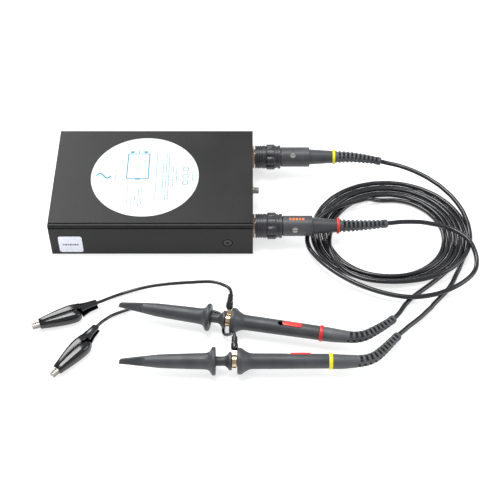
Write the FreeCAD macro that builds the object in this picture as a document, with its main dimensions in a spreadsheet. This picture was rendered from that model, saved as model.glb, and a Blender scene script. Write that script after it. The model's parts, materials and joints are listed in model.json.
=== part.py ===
import FreeCAD, Part
import math
import os
import re
import Sketcher

# Two-channel oscilloscope box with two plugged-in probes, in millimetres.
# The origin is the middle of the case's footprint. X runs along the case towards its two
# input jacks, Y to the back and Z up. The case and the probes stand on the plane Z = 0.
# Probe 1 (yellow rings) is on the back jack and probe 2 (red rings) on the front one.

Vector = FreeCAD.Vector
Rotation = FreeCAD.Rotation
Placement = FreeCAD.Placement

# ---------------------------------------------------------------- driving dimensions

SIZES = {
    # case
    "case_length": 120, "case_depth": 80, "case_height": 25, "sheet": 1.2,
    "bend_radius": 1.5, "groove_place": 1.7, "groove_width": 0.9, "groove_depth": 0.6,
    "cover_gap": 0.1, "panel_setback": 0.2,
    "tab_width": 14, "tab_height": 15.5, "screw_height": 10, "screw_reach": 45,
    "post_radius": 2.5, "post_height": 2.8, "post_bore": 1.3,
    "screw_head": 2.75, "screw_shank": 1.5, "screw_length": 5, "screw_play": 0.03,
    "recess_width": 0.7, "recess_length": 3, "recess_depth": 0.8,
    # printed label and seal
    "label_radius": 32.5, "label_thick": 0.12, "label_shift": -5.2,
    "seal_side": 14, "seal_thick": 0.12, "seal_shift": -48, "seal_height": 8.8, "seal_corner": 1.5,
    # circuit board
    "board_length": 98, "board_depth": 70, "board_thick": 1.6, "board_shift": -8,
    "board_screw_x": 42, "board_screw_y": 30, "board_screw_radius": 1.25,
    "board_head": 2.4, "board_head_thick": 1.4,
    # input jacks, measured from the panel's outer face
    "jack_spread": 28.75, "jack_height": 12.5, "jack_barrel": 4.8, "jack_bore": 4.05,
    "jack_reach": 11, "jack_flange": 6.8, "jack_block": 6, "jack_depth": 13,
    "lug_radius": 1, "lug_tip": 5.5, "lug_place": 6,
    "nut_thick": 1.2, "nut_corner": 7.1, "contact_radius": 1.15, "contact_bore": 0.75,
    "insert_nose": 2.4,
    # calibration terminal and USB socket
    "terminal_radius": 1.9, "terminal_neck": 1.5, "terminal_reach": 3.8, "bead_radius": 2.6,
    "bead_thick": 0.5,
    "usb_width": 12, "usb_height": 11, "usb_depth": 16, "usb_wall": 0.5,
    # probe plug, measured from the panel's outer face
    "play": 0.05, "pin_radius": 0.65, "pin_root": 1, "ferrule_radius": 3.95, "ferrule_bore": 3.35,
    "shell_start": 2.2, "shell_flange": 5.5, "shell_flange_start": 12, "shell_tail": 4.3,
    "shell_end": 22,
    "collar_start": 1.6, "collar_front": 8.9, "collar_grip_end": 15.2, "collar_end": 17.5,
    "collar_radius": 7.42, "collar_grip": 8.05, "collar_rear": 7.5, "collar_bore": 4.95,
    "collar_pocket": 5.75, "flute_radius": 2.2, "flute_count": 8, "flute_place": 9.5,
    "collar_step": 0.6, "shell_flange_thick": 1.6,
    "slot_width": 2.6, "slot_pitch": 48,
    "housing_start": 17.7, "housing_radius": 6.15, "housing_step": 35.6,
    "housing_neck": 4.8, "housing_end": 50, "housing_tip": 3.9, "housing_bore": 2.9,
    "edge_break": 0.4,
    "trimmer_place": 25.2, "trimmer_hole": 1.9, "trimmer_radius": 1.8,
    "trimmer_low": 3.8, "trimmer_high": 5.6, "trimmer_slot": 0.5,
    "ring_thick": 2.6, "ring_radius": 4.6, "spigot_radius": 3.5, "spigot_length": 4.2,
    "boot_start_radius": 3.9, "boot_end_radius": 2.3, "boot_bore": 1.5,
    "plug_boot_length": 28.8, "plug_boot_bend": 12,
    # cable
    "cable_radius": 1.4, "strand_gap": 2.95, "coil_lift": 0.1, "coil_x": 141.5, "coil_y": -27,
    "coil_half_length": 33.75, "coil_half_depth": 31, "pitch_side": 2.95, "pitch_back": 2.5,
    "pitch_front": 1.7, "arc_pair": 10,
    # probe handle, measured from the sleeve's finger flange
    "handle_height": 7.9, "sleeve_tip": -52, "sleeve_tip_radius": 2, "sleeve_mid": -36,
    "sleeve_mid_radius": 3.5, "sleeve_body": -5, "sleeve_body_radius": 4.5,
    "flange_radius": 7.85, "flange_half": 1.25, "flange_root": -2.75, "flange_root_radius": 5.5,
    "neck_radius": 2.7, "hook_bore": 0.95, "mouth_length": 5, "room_start": -33,
    "room_end": -8, "room_radius": 3,
    "barrel_front": -10, "barrel_stop": 8, "barrel_stop_radius": 5.25, "clip_seat": 10,
    "clip_seat_radius": 3, "handle_start": 13.05, "guard_radius": 7.35, "guard_end": 16.2,
    "handle_neck": 19.8, "handle_radius": 4.1, "handle_end": 63.2, "handle_bore": 3.05,
    "socket_radius": 2.4, "socket_end": 24, "stem_radius": 0.45, "stem_bore": 0.65,
    "stem_start": -0.2, "hook_tip": -49.5, "hook_bend": 0.5,
    "handle_ring_thick": 2.2, "handle_ring_radius": 4.5, "handle_spigot": 3,
    "handle_spigot_depth": 7, "taper_end": 78,
    "taper_radius": 3.6, "handle_boot_length": 34, "handle_boot_bend": 52,
    "handle_boot_radius": 16,
    "window_start": 39.6, "window_end": 53.4, "window_half": 1.5, "slider_length": 11.2,
    "slider_half": 1.4, "slider_low": 3.3, "slider_high": 4.95,
    "spring_radius": 1.9, "spring_wire": 0.3, "spring_start": -32, "spring_turns": 9,
    # ground lead
    "clip_ring_bore": 3.08, "clip_ring_radius": 3.75, "clip_ring_start": 10.35,
    "clip_ring_width": 2.3, "clip_ring_split": 1.6, "clip_tab_reach": 10.2, "clip_tab_thick": 0.8,
    "lead_boot_start": 7.6, "lead_boot_shoulder": 10.6, "lead_boot_end": 15,
    "lead_boot_radius": 2.2, "lead_boot_tip": 1.45,
    "lead_radius": 0.95,
    # crocodile clip lying on its side, measured from its pivot
    "jaw_low": 1.2, "jaw_depth": 5.2, "jaw_tail": 17, "jaw_tail_half": 4.2, "jaw_hip_place": -3,
    "jaw_hip": 4.5, "jaw_shoulder_place": 5, "jaw_shoulder_half": 3.8, "jaw_tip": 15,
    "jaw_nose": 21, "jaw_tip_half": 1.25, "jaw_wall": 0.8, "jaw_gap": 0.15, "ear_reach": 3.8,
    "ear_thick": 0.6, "ear_half": 2.2, "ear_step": 0.7,
    "pivot_radius": 0.9, "pivot_play": 0.06, "clip_coil_wire": 0.2, "clip_coil_radius": 1.5,
    "clip_coil_turns": 3,
    "cover_depth": 7.6, "cover_tail": 18, "cover_tail_half": 5, "cover_tail_lip": 3.2,
    "cover_hip": 5.4, "cover_bend": 8, "cover_bend_half": 4.5, "cover_reach": 16.5,
    "cover_nose_half": 2.8, "cover_nose_bore": 1.8, "cover_lip": 0.3, "cover_play": 0.12,
}

doc = FreeCAD.newDocument("oscilloscope")
sheet = doc.addObject("Spreadsheet::Sheet", "Sizes")
for row, (alias, value) in enumerate(SIZES.items(), start=1):
    sheet.set(f"A{row}", alias)
    sheet.set(f"B{row}", str(value))
    sheet.setAlias(f"B{row}", alias)
doc.recompute()

# Heights that several pieces share, worked out from the driving dimensions.
DERIVED = {"board_top": "(sheet + post_height + board_thick)"}

nodes = []


def size(alias):
    """A driving dimension, read from the sheet."""
    return float(sheet.get(alias))


def formula(text):
    """The expression with each alias pointed at the sheet."""
    for name, meaning in DERIVED.items():
        text = text.replace(name, meaning)
    return re.sub(r"[a-z][a-z_]*", lambda word: f"Sizes.{word.group()}", text)


def bind(thing, **sizes):
    """Bind properties of an object to expressions of the driving dimensions."""
    for name, text in sizes.items():
        thing.setExpression(name, formula(text))
    return thing


def make(kind, name, **sizes):
    """A Part object whose sizes follow the sheet."""
    return bind(doc.addObject(kind, name), **sizes)


def place(thing, x="0", y="0", z="0", turn=None):
    """Place an object: an expression for each coordinate and a plain rotation."""
    if turn is not None:
        thing.Placement = Placement(Vector(), turn)
    for axis, text in zip("xyz", (x, y, z)):
        thing.setExpression(f"Placement.Base.{axis}", formula(text))
    return thing


def node(thing, label):
    """Name a finished sub-part, so that it gets its own file."""
    thing.Label = label
    nodes.append(thing)
    return thing


# ---------------------------------------------------------------- shape helpers

def draw(body, role, outline):
    """Closed outline on an origin plane; each corner's two distances are expressions."""
    sketch = body.newObject("Sketcher::SketchObject", f"{body.Name}_outline")
    plane = next(part for part in body.Origin.OriginFeatures if part.Role == role)
    sketch.AttachmentSupport = [(plane, "")]
    sketch.MapMode = "FlatFace"
    count = len(outline)
    seeds = [Vector(math.cos(math.tau * i / count), math.sin(math.tau * i / count), 0)
             for i in range(count)]
    for i in range(count):
        sketch.addGeometry(Part.LineSegment(seeds[i], seeds[(i + 1) % count]), False)
    for i in range(count):
        sketch.addConstraint(Sketcher.Constraint("Coincident", i, 2, (i + 1) % count, 1))
    for i, corner in enumerate(outline):
        for kind, text, seed in zip(("DistanceX", "DistanceY"), corner, seeds[i]):
            index = sketch.addConstraint(Sketcher.Constraint(kind, -1, 1, i, 1, seed))
            sketch.setExpression(f"Constraints[{index}]", formula(text))
    return sketch


def turned(name, outline):
    """Turned piece: the outline (station, radius) revolved about the local X axis."""
    body = doc.addObject("PartDesign::Body", name)
    turning = body.newObject("PartDesign::Revolution", f"{name}_turning")
    sketch = draw(body, "XY_Plane", outline)
    turning.Profile = sketch
    turning.ReferenceAxis = (sketch, ["H_Axis"])
    turning.Angle = 360
    body.Tip = turning
    return body


def pad(name, role, outline, length, middle=False):
    """Straight piece: an outline padded from an origin plane, or both ways from it."""
    body = doc.addObject("PartDesign::Body", name)
    padding = body.newObject("PartDesign::Pad", f"{name}_pad")
    padding.Profile = draw(body, role, outline)
    padding.SideType = "Symmetric" if middle else "One side"
    bind(padding, Length=length)
    body.Tip = padding
    return body


def rounded(body, radius, wanted):
    """Fillet the edges of a body whose middle point passes the test."""
    doc.recompute()
    base = body.Tip
    names = [f"Edge{i}" for i, edge in enumerate(base.Shape.Edges, start=1)
             if wanted(edge.CenterOfMass)]
    fillet = body.newObject("PartDesign::Fillet", f"{body.Name}_fillet")
    fillet.Base = (base, names)
    bind(fillet, Radius=radius)
    body.Tip = fillet
    return body


def box(name, x, y, z, length, width, height):
    """Box from its low corner."""
    return place(make("Part::Box", name, Length=length, Width=width, Height=height), x, y, z)


def rod(name, radius, length, x="0", y="0", z="0", turn=None):
    """Cylinder along Z, or along Z turned by a rotation."""
    return place(make("Part::Cylinder", name, Radius=radius, Height=length), x, y, z, turn)


def fuse(name, shapes):
    joined = doc.addObject("Part::MultiFuse", name)
    joined.Shapes = shapes
    return joined


def cut(name, base, tool):
    result = doc.addObject("Part::Cut", name)
    result.Base = base
    result.Tool = tool
    return result


def group(name, parts):
    """Separate solids kept together in one sub-part."""
    bundle = doc.addObject("Part::Compound", name)
    bundle.Links = parts
    return bundle


def copy(master, name, x="0", y="0", z="0", turn=None):
    """A placed link to a master shape."""
    link = doc.addObject("App::Link", name)
    link.LinkedObject = master
    return place(link, x, y, z, turn)


def curve(name, edges):
    """Guide curve for a sweep."""
    guide = doc.addObject("Part::Feature", name)
    guide.Shape = Part.Wire(edges)
    return guide


def sweep(name, guide, sections):
    """Solid swept through (circle radius, place on the guide) sections."""
    circles = []
    for i, (radius, spot) in enumerate(sections):
        circle = make("Part::Circle", f"{name}_section_{i}", Radius=radius)
        circle.Placement = spot
        circles.append(circle)
    solid = doc.addObject("Part::Sweep", name)
    solid.Sections = circles
    solid.Spine = (guide, [f"Edge{i + 1}" for i in range(len(guide.Shape.Edges))])
    solid.Solid = True
    solid.Frenet = False
    return solid


def spring(name, radius, wire, turns, length):
    """Coil spring along Z from the origin, its helix drawn as short arcs."""
    steps = 6
    stops = []
    slope = length / (math.tau * turns * radius)
    for i in range(steps * turns + 1):
        angle = math.tau * i / steps
        spot = Vector(radius * math.cos(angle), radius * math.sin(angle),
                      length * i / (steps * turns))
        stops.append((spot, Vector(-math.sin(angle), math.cos(angle), slope).normalize()))
    guide = curve(f"{name}_guide", arcs(stops))
    return sweep(name, guide, [(wire, facing(*stops[0]))])


ALONG_X = Rotation(Vector(0, 1, 0), 90)


# ---------------------------------------------------------------- case

def case_screw():
    """Countersunk screw with a cross recess; head face at X = 0, shank towards +X."""
    screw = turned("case_screw", [
        ("0", "0"), ("0", "screw_head"), ("screw_head - screw_shank", "screw_shank"),
        ("screw_length", "screw_shank"), ("screw_length", "0")])
    bars = [
        box("recess_bar_a", "0", "-recess_length / 2", "-recess_width / 2",
            "recess_depth", "recess_length", "recess_width"),
        box("recess_bar_b", "0", "-recess_width / 2", "-recess_length / 2",
            "recess_depth", "recess_width", "recess_length")]
    return cut("case_screw_recessed", screw, fuse("case_screw_cross", bars))


def at_case_screws(master, name):
    """The four case screw places: two on the front face and two on the back."""
    links = []
    for side, y, turn in (("front", "-case_depth / 2", 90), ("back", "case_depth / 2", -90)):
        for hand in ("-", ""):
            links.append(copy(master, f"{name}_{side}_{len(links)}", f"{hand}screw_reach", y,
                              "screw_height", Rotation(Vector(0, 0, 1), turn)))
    return links


def at_bend(y, z):
    """Test for the cover's two long edges at a distance from the middle and a height."""
    return lambda middle: abs(abs(middle.y) - y) < 0.01 and abs(middle.z - z) < 0.01


def build_case():
    """Folded cover, folded chassis, four screws, and the two printed stickers.

    The cover has a fine groove on either side of its front bend."""
    screws = at_case_screws(case_screw(), "case_screw")
    node(group("case_screw_set", screws), "case_screws")
    clearance = turned("screw_clearance", [
        ("-sheet", "0"), ("-sheet", "screw_head + sheet + screw_play"),
        ("screw_head - screw_shank", "screw_shank + screw_play"),
        ("screw_length + sheet", "screw_shank + screw_play"), ("screw_length + sheet", "0")])
    holes = group("case_screw_holes", at_case_screws(clearance, "screw_hole"))

    outer_y, outer_z = "case_depth / 2", "case_height"
    inner_y, inner_z = "case_depth / 2 - sheet", "case_height - sheet"
    near, far = "groove_place", "(groove_place + groove_width)"
    cover = pad("cover_fold", "YZ_Plane", [
        (f"-{outer_y}", "0"), (f"-{outer_y}", f"{outer_z} - {far}"),
        (f"-{outer_y} + groove_depth", f"{outer_z} - {far}"),
        (f"-{outer_y} + groove_depth", f"{outer_z} - {near}"),
        (f"-{outer_y}", f"{outer_z} - {near}"), (f"-{outer_y}", outer_z),
        (f"-{outer_y} + {near}", outer_z), (f"-{outer_y} + {near}", f"{outer_z} - groove_depth"),
        (f"-{outer_y} + {far}", f"{outer_z} - groove_depth"), (f"-{outer_y} + {far}", outer_z),
        (outer_y, outer_z), (outer_y, "0"), (inner_y, "0"), (inner_y, inner_z),
        (f"-({inner_y})", inner_z), (f"-({inner_y})", "0")],
        "case_length", middle=True)
    half_depth, top = size("case_depth") / 2, size("case_height")
    rounded(cover, "bend_radius", at_bend(half_depth, top))
    rounded(cover, "bend_radius - sheet",
            at_bend(half_depth - size("sheet"), top - size("sheet")))
    node(cut("cover_drilled", cover, holes), "upper_cover")
    node(chassis(holes), "lower_chassis")

    label = rod("label_disc", "label_radius", "label_thick", "label_shift", "0", "case_height")
    node(label, "round_label")
    seal = pad("seal", "XZ_Plane", [
        ("seal_shift - seal_side / 2", "seal_height - seal_side / 2"),
        ("seal_shift + seal_side / 2", "seal_height - seal_side / 2"),
        ("seal_shift + seal_side / 2", "seal_height + seal_side / 2"),
        ("seal_shift - seal_side / 2", "seal_height + seal_side / 2")], "seal_thick")
    rounded(seal, "seal_corner", lambda middle: 0.01 < -middle.y < size("seal_thick") - 0.01)
    node(place(seal, y="-case_depth / 2"), "seal_sticker")


def chassis(screw_holes):
    """Tray folded up at both ends, with four screw tabs and four board posts."""
    half = "case_length / 2 - panel_setback"
    wide = "case_depth - 2 * sheet - 2 * cover_gap"
    roof = "case_height - sheet - cover_gap"
    tray = pad("tray_fold", "XZ_Plane", [
        (f"-({half})", "0"), (half, "0"), (half, roof), (f"{half} - sheet", roof),
        (f"{half} - sheet", "sheet"), (f"-({half} - sheet)", "sheet"),
        (f"-({half} - sheet)", roof), (f"-({half})", roof)], wide, middle=True)
    pieces = [tray]
    for i, (hand, y) in enumerate(((h, y) for h in ("-", "") for y in (
            f"-({wide}) / 2", f"({wide}) / 2 - sheet"))):
        pieces.append(box(f"screw_tab_{i}", f"{hand}screw_reach - tab_width / 2", y, "0",
                          "tab_width", "sheet", "tab_height"))
    bores = []
    for i, (x, y) in enumerate(at_board_screws()):
        pieces.append(rod(f"board_post_{i}", "post_radius", "sheet + post_height", x, y))
        bores.append(rod(f"board_post_bore_{i}", "post_bore", "sheet + post_height + sheet",
                         x, y, "sheet / 2"))
    for i, hand in enumerate(("-", "")):
        bores.append(rod(f"jack_hole_{i}", "jack_barrel + play", "4 * sheet",
                         "case_length / 2 - 3 * sheet", f"{hand}jack_spread", "jack_height",
                         ALONG_X))
    bores.append(rod("terminal_hole", "terminal_neck + 2 * play", "4 * sheet",
                     "case_length / 2 - 3 * sheet", "0", "jack_height", ALONG_X))
    bores.append(box("usb_hole", "-case_length / 2 - sheet", "-usb_width / 2 - play",
                     "board_top - play", "4 * sheet", "usb_width + 2 * play",
                     "usb_height + 2 * play"))
    bores.append(screw_holes)
    return cut("chassis_drilled", fuse("chassis_body", pieces), group("chassis_cutters", bores))


# ---------------------------------------------------------------- inside the case

def at_board_screws():
    """Centres of the four circuit board screws."""
    return [(f"board_shift {sign_x} board_screw_x", f"{sign_y}board_screw_y")
            for sign_x in "-+" for sign_y in ("-", "")]


def build_board():
    """Circuit board with its screws and the parts soldered on top."""
    floor = "sheet + post_height"
    plate = box("board_plate", "board_shift - board_length / 2", "-board_depth / 2", floor,
                "board_length", "board_depth", "board_thick")
    holes = [rod(f"board_hole_{i}", "board_screw_radius + play", "3 * board_thick", x, y,
                 f"{floor} - board_thick") for i, (x, y) in enumerate(at_board_screws())]
    node(cut("board_drilled", plate, group("board_holes", holes)), "circuit_board")

    screw = turned("board_screw", [
        ("-board_head_thick", "0"), ("-board_head_thick", "board_head"), ("0", "board_head"),
        ("0", "board_screw_radius"), ("board_thick + post_height", "board_screw_radius"),
        ("board_thick + post_height", "0")])
    links = [copy(screw, f"board_screw_{i}", x, y, "board_top + play",
                  Rotation(Vector(0, 1, 0), 90)) for i, (x, y) in enumerate(at_board_screws())]
    node(group("board_screw_set", links), "board_screws")

    chips = [("-30", "-8", "14", "14", "1.6"), ("-6", "-10", "20", "20", "2"),
             ("-2", "20", "9", "4", "1.5"), ("22", "-24", "9", "6", "1.6"),
             ("22", "18", "9", "6", "1.6"), ("8", "-32", "10", "7.5", "5.5"),
             ("8", "24.5", "10", "7.5", "5.5"), ("-36", "18", "11", "4.6", "3.4"),
             ("-46", "-30", "10", "10", "4.5")]
    parts = [box(f"chip_{i}", x, y, "board_top", length, width, height)
             for i, (x, y, length, width, height) in enumerate(chips)]
    for i, (x, y) in enumerate((("-20", "28"), ("-12", "-29"), ("32", "0"))):
        parts.append(rod(f"capacitor_{i}", "3.15", "7.5", x, y, "board_top"))
    node(group("component_set", parts), "board_components")


def build_jacks():
    """Two bayonet input jacks: metal shell, plastic insert, contact and panel nut each."""
    depth, lip = "jack_depth", "sheet + play"
    shell = turned("jack_turning", [
        (f"-{depth}", "contact_radius + play"), (f"-{depth}", "jack_block"),
        ("-4 * sheet", "jack_block"), ("-4 * sheet", "jack_flange"), (f"-({lip})", "jack_flange"),
        (f"-({lip})", "jack_barrel"), ("jack_reach", "jack_barrel"), ("jack_reach", "jack_bore"),
        (f"sheet - {depth}", "jack_bore"), (f"sheet - {depth}", "contact_radius + play")])
    lugs = [rod(f"lug_{i}", "lug_radius", "lug_tip - jack_bore - play", "lug_place", "0",
                f"{hand}(jack_bore + play)", Rotation(Vector(1, 0, 0), turn))
            for i, (hand, turn) in enumerate((("", 0), ("-", 180)))]
    insert = turned("insert_turning", [
        (f"sheet - {depth} + play", "contact_radius + play"),
        (f"sheet - {depth} + play", "jack_bore - play"), ("sheet", "jack_bore - play"),
        ("sheet", "insert_nose"), ("jack_reach - sheet", "insert_nose"),
        ("jack_reach - sheet", "contact_radius + play")])
    contact = turned("contact_turning", [
        (f"-{depth} - 2 * sheet", "0"), (f"-{depth} - 2 * sheet", "contact_radius"),
        ("jack_reach - 2 * sheet", "contact_radius"), ("jack_reach - 2 * sheet", "contact_bore"),
        ("sheet", "contact_bore"), ("sheet", "0")])
    hexagon = make("Part::Prism", "nut_hexagon", Circumradius="nut_corner", Height="nut_thick")
    hexagon.Polygon = 6
    hexagon.Placement = Placement(Vector(), ALONG_X)
    bore = rod("nut_bore", "jack_barrel + play", "nut_thick", turn=ALONG_X)
    masters = {"bnc_jack_shells": fuse("jack_shell", [shell] + lugs), "bnc_jack_inserts": insert,
               "bnc_jack_contacts": contact, "bnc_jack_nuts": cut("jack_nut", hexagon, bore)}
    for label, master in masters.items():
        links = [copy(master, f"{label}_{i}", *jack_place(i)) for i in (1, 2)]
        node(group(f"{label}_set", links), label)


def jack_place(number):
    """Centre of a jack on the panel's outer face: jack 1 at the back, jack 2 in front."""
    hand = "" if number == 1 else "-"
    return "case_length / 2 - panel_setback", f"{hand}jack_spread", "jack_height"


def build_terminal_and_usb():
    """Calibration terminal between the jacks, and the USB socket in the other end."""
    face = "case_length / 2 - panel_setback"
    bead = turned("bead_turning", [
        ("play / 2", "terminal_neck + play"), ("play / 2", "bead_radius"),
        ("bead_thick", "bead_radius"), ("bead_thick", "terminal_neck + play")])
    node(place(bead, face, "0", "jack_height"), "calibration_bead")
    post = turned("terminal_turning", [
        ("-4 * sheet", "0"), ("-4 * sheet", "terminal_neck / 2"),
        ("-2 * sheet", "terminal_neck / 2"), ("-2 * sheet", "terminal_neck"),
        ("bead_thick + play", "terminal_neck"), ("bead_thick + play", "terminal_radius"),
        ("terminal_reach", "terminal_radius"),
        ("terminal_reach", "0")])
    node(place(post, face, "0", "jack_height"), "calibration_post")

    shell = box("usb_shell", "0", "0", "0", "usb_depth", "usb_width", "usb_height")
    mouth = box("usb_mouth", "-usb_wall", "usb_wall", "usb_wall", "usb_depth",
                "usb_width - 2 * usb_wall", "usb_height - 2 * usb_wall")
    tongue = box("usb_tongue", "2 * usb_wall", "usb_width / 4", "usb_height / 2 - sheet",
                 "usb_depth - 3 * usb_wall", "usb_width / 2", "2 * sheet")
    socket = fuse("usb_socket_body", [cut("usb_hollow", shell, mouth), tongue])
    node(place(socket, "-case_length / 2 + panel_setback", "-usb_width / 2",
               "board_top"), "usb_socket")


# ---------------------------------------------------------------- arcs, bent boots and frames

def arcs(stops):
    """Chain of arcs, two for each step, through stops given as (point, unit direction)."""
    edges = []
    for (start, leaving), (end, arriving) in zip(stops, stops[1:]):
        chord = end - start
        along = chord.dot(leaving + arriving)
        spread = 2 * (1 - leaving.dot(arriving))
        if spread < 1e-9:
            reach = chord.dot(chord) / (2 * along)
        else:
            reach = (math.sqrt(along * along + spread * chord.dot(chord)) - along) / spread
        near, far = start + leaving * reach, end - arriving * reach
        middle = (near + far) * 0.5
        edges += [arc(start, near, middle), arc(middle, far, end)]
    return edges


def arc(start, corner, end):
    """Arc from start to end that touches both lines to the corner between them."""
    back, on = (start - corner).normalize(), (end - corner).normalize()
    reach = (start - corner).Length
    half_turn = (math.pi - math.acos(max(-1.0, min(1.0, back.dot(on))))) / 2
    if half_turn < 1e-5:
        return Part.LineSegment(start, end).toShape()
    crest = corner + (back + on).normalize() * (reach * math.tan(half_turn / 2))
    return Part.Arc(start, crest, end).toShape()


def boot_guide(start, straight, bend, radius, length, roll):
    """Local guide of a strain-relief boot, as edges and its end point and direction.

    It runs straight along X from start, then bends on an arc towards roll (degrees about
    X, 0 towards +Y), and ends with whatever straight length is left."""
    side = Vector(0, math.cos(math.radians(roll)), math.sin(math.radians(roll)))
    ahead = Vector(1, 0, 0)
    begin = ahead * start
    knee = ahead * (start + straight)

    def on_arc(angle):
        return knee + ahead * (radius * math.sin(angle)) + side * (radius * (1 - math.cos(angle)))

    turn = math.radians(bend)
    direction = ahead * math.cos(turn) + side * math.sin(turn)
    left = length - straight - radius * turn
    last = on_arc(turn) + direction * left
    edges = [Part.LineSegment(begin, knee).toShape(),
             Part.Arc(knee, on_arc(turn / 2), on_arc(turn)).toShape(),
             Part.LineSegment(on_arc(turn), last).toShape()]
    return edges, last, direction


def facing(point, direction):
    """Placement that stands on a point with its Z axis along a direction."""
    return Placement(point, Rotation(Vector(0, 0, 1), direction))


def boot(name, spigot, guide, wide, narrow, start):
    """Boot: turned spigot, tapered bent tail and a bore for the cable all the way."""
    edges, last, direction = guide
    ahead = Vector(1, 0, 0)
    tail = sweep(f"{name}_tail", curve(f"{name}_guide", edges),
                 [(wide, facing(edges[0].Vertexes[0].Point, ahead)),
                  (narrow, facing(last, direction))])
    lead = [Part.LineSegment(ahead * start, edges[0].Vertexes[0].Point).toShape()]
    bore = sweep(f"{name}_bore", curve(f"{name}_bore_guide", lead + edges),
                 [("boot_bore", facing(ahead * start, ahead))])
    return cut(f"{name}_bored", fuse(f"{name}_solid", [spigot, tail]), bore)


# How each probe lies: the way its boots bend, its handle's place and heading, and the way
# its trimmer, switch and ground clip face (degrees about X, 0 to the front and 90 up).
PLUG_BENDS = {1: -135, 2: -20}
HANDLE_BEND = -12
HANDLE_TURNS = {1: 0, 2: -10}
HANDLE_PLACES = {1: (38.2, -123.2), 2: (34.7, -93.2)}
TRIMMER_ROLLS = {1: 57, 2: 20}
SWITCH_ROLLS = {1: 140, 2: 92}
GROUND_ROLLS = {1: 168, 2: 130}
CLIP_PLACES = {1: (-37.6, -112.9), 2: (-45.5, -88.8)}
CLIP_TURNS = {1: 232.9, 2: 201.6}


def radial(roll):
    """Rotation that points the Z axis away from the X axis at a roll."""
    return Rotation(Vector(1, 0, 0), 90 - roll)


def plug_guide(number):
    """Guide of a plug's boot, in the plug's own frame."""
    length = size("plug_boot_length")
    bend = size("plug_boot_bend")
    radius = 0.8 * length / math.radians(bend)
    return boot_guide(size("housing_end") + size("ring_thick"), length / 10, bend, radius,
                      length, PLUG_BENDS[number])


def handle_guide():
    """Guide of a handle's boot, in the handle's own frame."""
    return boot_guide(size("taper_end"), 1, size("handle_boot_bend"), size("handle_boot_radius"),
                      size("handle_boot_length"), HANDLE_BEND)


def plug_frame(number):
    """Placement of a plug: on its jack's axis, at the panel's outer face."""
    hand = 1 if number == 1 else -1
    return Placement(Vector(size("case_length") / 2 - size("panel_setback"),
                            hand * size("jack_spread"), size("jack_height")), Rotation())


def handle_frame(number):
    """Placement of a probe handle: its X axis runs from the hook to the cable."""
    x, y = HANDLE_PLACES[number]
    return Placement(Vector(x, y, size("handle_height")),
                     Rotation(Vector(0, 0, 1), HANDLE_TURNS[number]))


# ---------------------------------------------------------------- probe plugs

def build_plug(number):
    """Bayonet plug with its compensation housing, on one jack."""
    mark = f"probe_{number}"
    spot = jack_place(number)

    shell = turned(f"{mark}_shell_turning", [
        ("shell_start", "ferrule_bore"), ("shell_start", "ferrule_radius"),
        ("shell_flange_start", "ferrule_radius"), ("shell_flange_start", "shell_flange"),
        ("shell_flange_start + shell_flange_thick", "shell_flange"),
        ("shell_flange_start + shell_flange_thick", "shell_tail"),
        ("shell_end", "shell_tail"), ("shell_end", "insert_nose"),
        ("shell_flange_start", "insert_nose"), ("shell_flange_start", "ferrule_bore")])
    node(place(shell, *spot), f"{mark}_plug_shell")

    insulator = turned(f"{mark}_insulator_turning", [
        ("shell_flange_start + play", "pin_root + play"),
        ("shell_flange_start + play", "insert_nose - play"),
        ("shell_end", "insert_nose - play"), ("shell_end", "pin_root + play")])
    node(place(insulator, *spot), f"{mark}_plug_insulator")
    pin = turned(f"{mark}_pin_turning", [
        ("shell_start + 1", "0"), ("shell_start + 1", "pin_radius"),
        ("shell_flange_start", "pin_radius"), ("shell_flange_start", "pin_root"),
        ("shell_end + 2", "pin_root"), ("shell_end + 2", "0")])
    node(place(pin, *spot), f"{mark}_plug_contact")

    node(place(collar(mark), *spot), f"{mark}_bayonet_collar")

    housing = turned(f"{mark}_housing_turning", [
        ("housing_start", "shell_tail + play"), ("housing_start", "housing_radius - edge_break"),
        ("housing_start + edge_break", "housing_radius"),
        ("housing_step - edge_break", "housing_radius"),
        ("housing_step", "housing_radius - edge_break"), ("housing_step", "housing_neck"),
        ("housing_end", "housing_tip"), ("housing_end", "spigot_radius + play"),
        ("housing_end - spigot_length - play", "spigot_radius + play"),
        ("housing_end - spigot_length - play", "housing_bore"),
        ("shell_end + play", "housing_bore"),
        ("shell_end + play", "shell_tail + play")])
    outward = radial(TRIMMER_ROLLS[number])
    hole = rod(f"{mark}_trimmer_hole", "trimmer_hole", "housing_radius", "trimmer_place",
               turn=outward)
    node(place(cut(f"{mark}_housing_drilled", housing, hole), *spot), f"{mark}_plug_housing")

    trimmer = rod(f"{mark}_trimmer_body", "trimmer_radius", "trimmer_high - trimmer_low",
                  z="trimmer_low")
    slot = box(f"{mark}_trimmer_slot", "-trimmer_radius", "-trimmer_slot / 2",
               "trimmer_high - trimmer_slot", "2 * trimmer_radius", "trimmer_slot",
               "trimmer_slot")
    slotted = cut(f"{mark}_trimmer_slotted", trimmer, slot)
    base_x, base_y, base_z = spot
    node(place(slotted, f"{base_x} + trimmer_place", base_y, base_z, outward),
         f"{mark}_trimmer_screw")

    ring = turned(f"{mark}_ring_turning", [
        ("housing_end + play", "spigot_radius + play"), ("housing_end + play", "ring_radius"),
        ("housing_end + ring_thick - play", "ring_radius"),
        ("housing_end + ring_thick - play", "spigot_radius + play")])
    node(place(ring, *spot), f"{mark}_plug_marker_ring")

    spigot = turned(f"{mark}_spigot_turning", [
        ("housing_end - spigot_length", "0"), ("housing_end - spigot_length", "spigot_radius"),
        ("housing_end + ring_thick", "spigot_radius"), ("housing_end + ring_thick", "0")])
    tail = boot(f"{mark}_plug_boot", spigot, plug_guide(number), "boot_start_radius",
                "boot_end_radius", size("housing_end") - 2 * size("spigot_length"))
    node(place(tail, *spot), f"{mark}_plug_boot")


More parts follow.
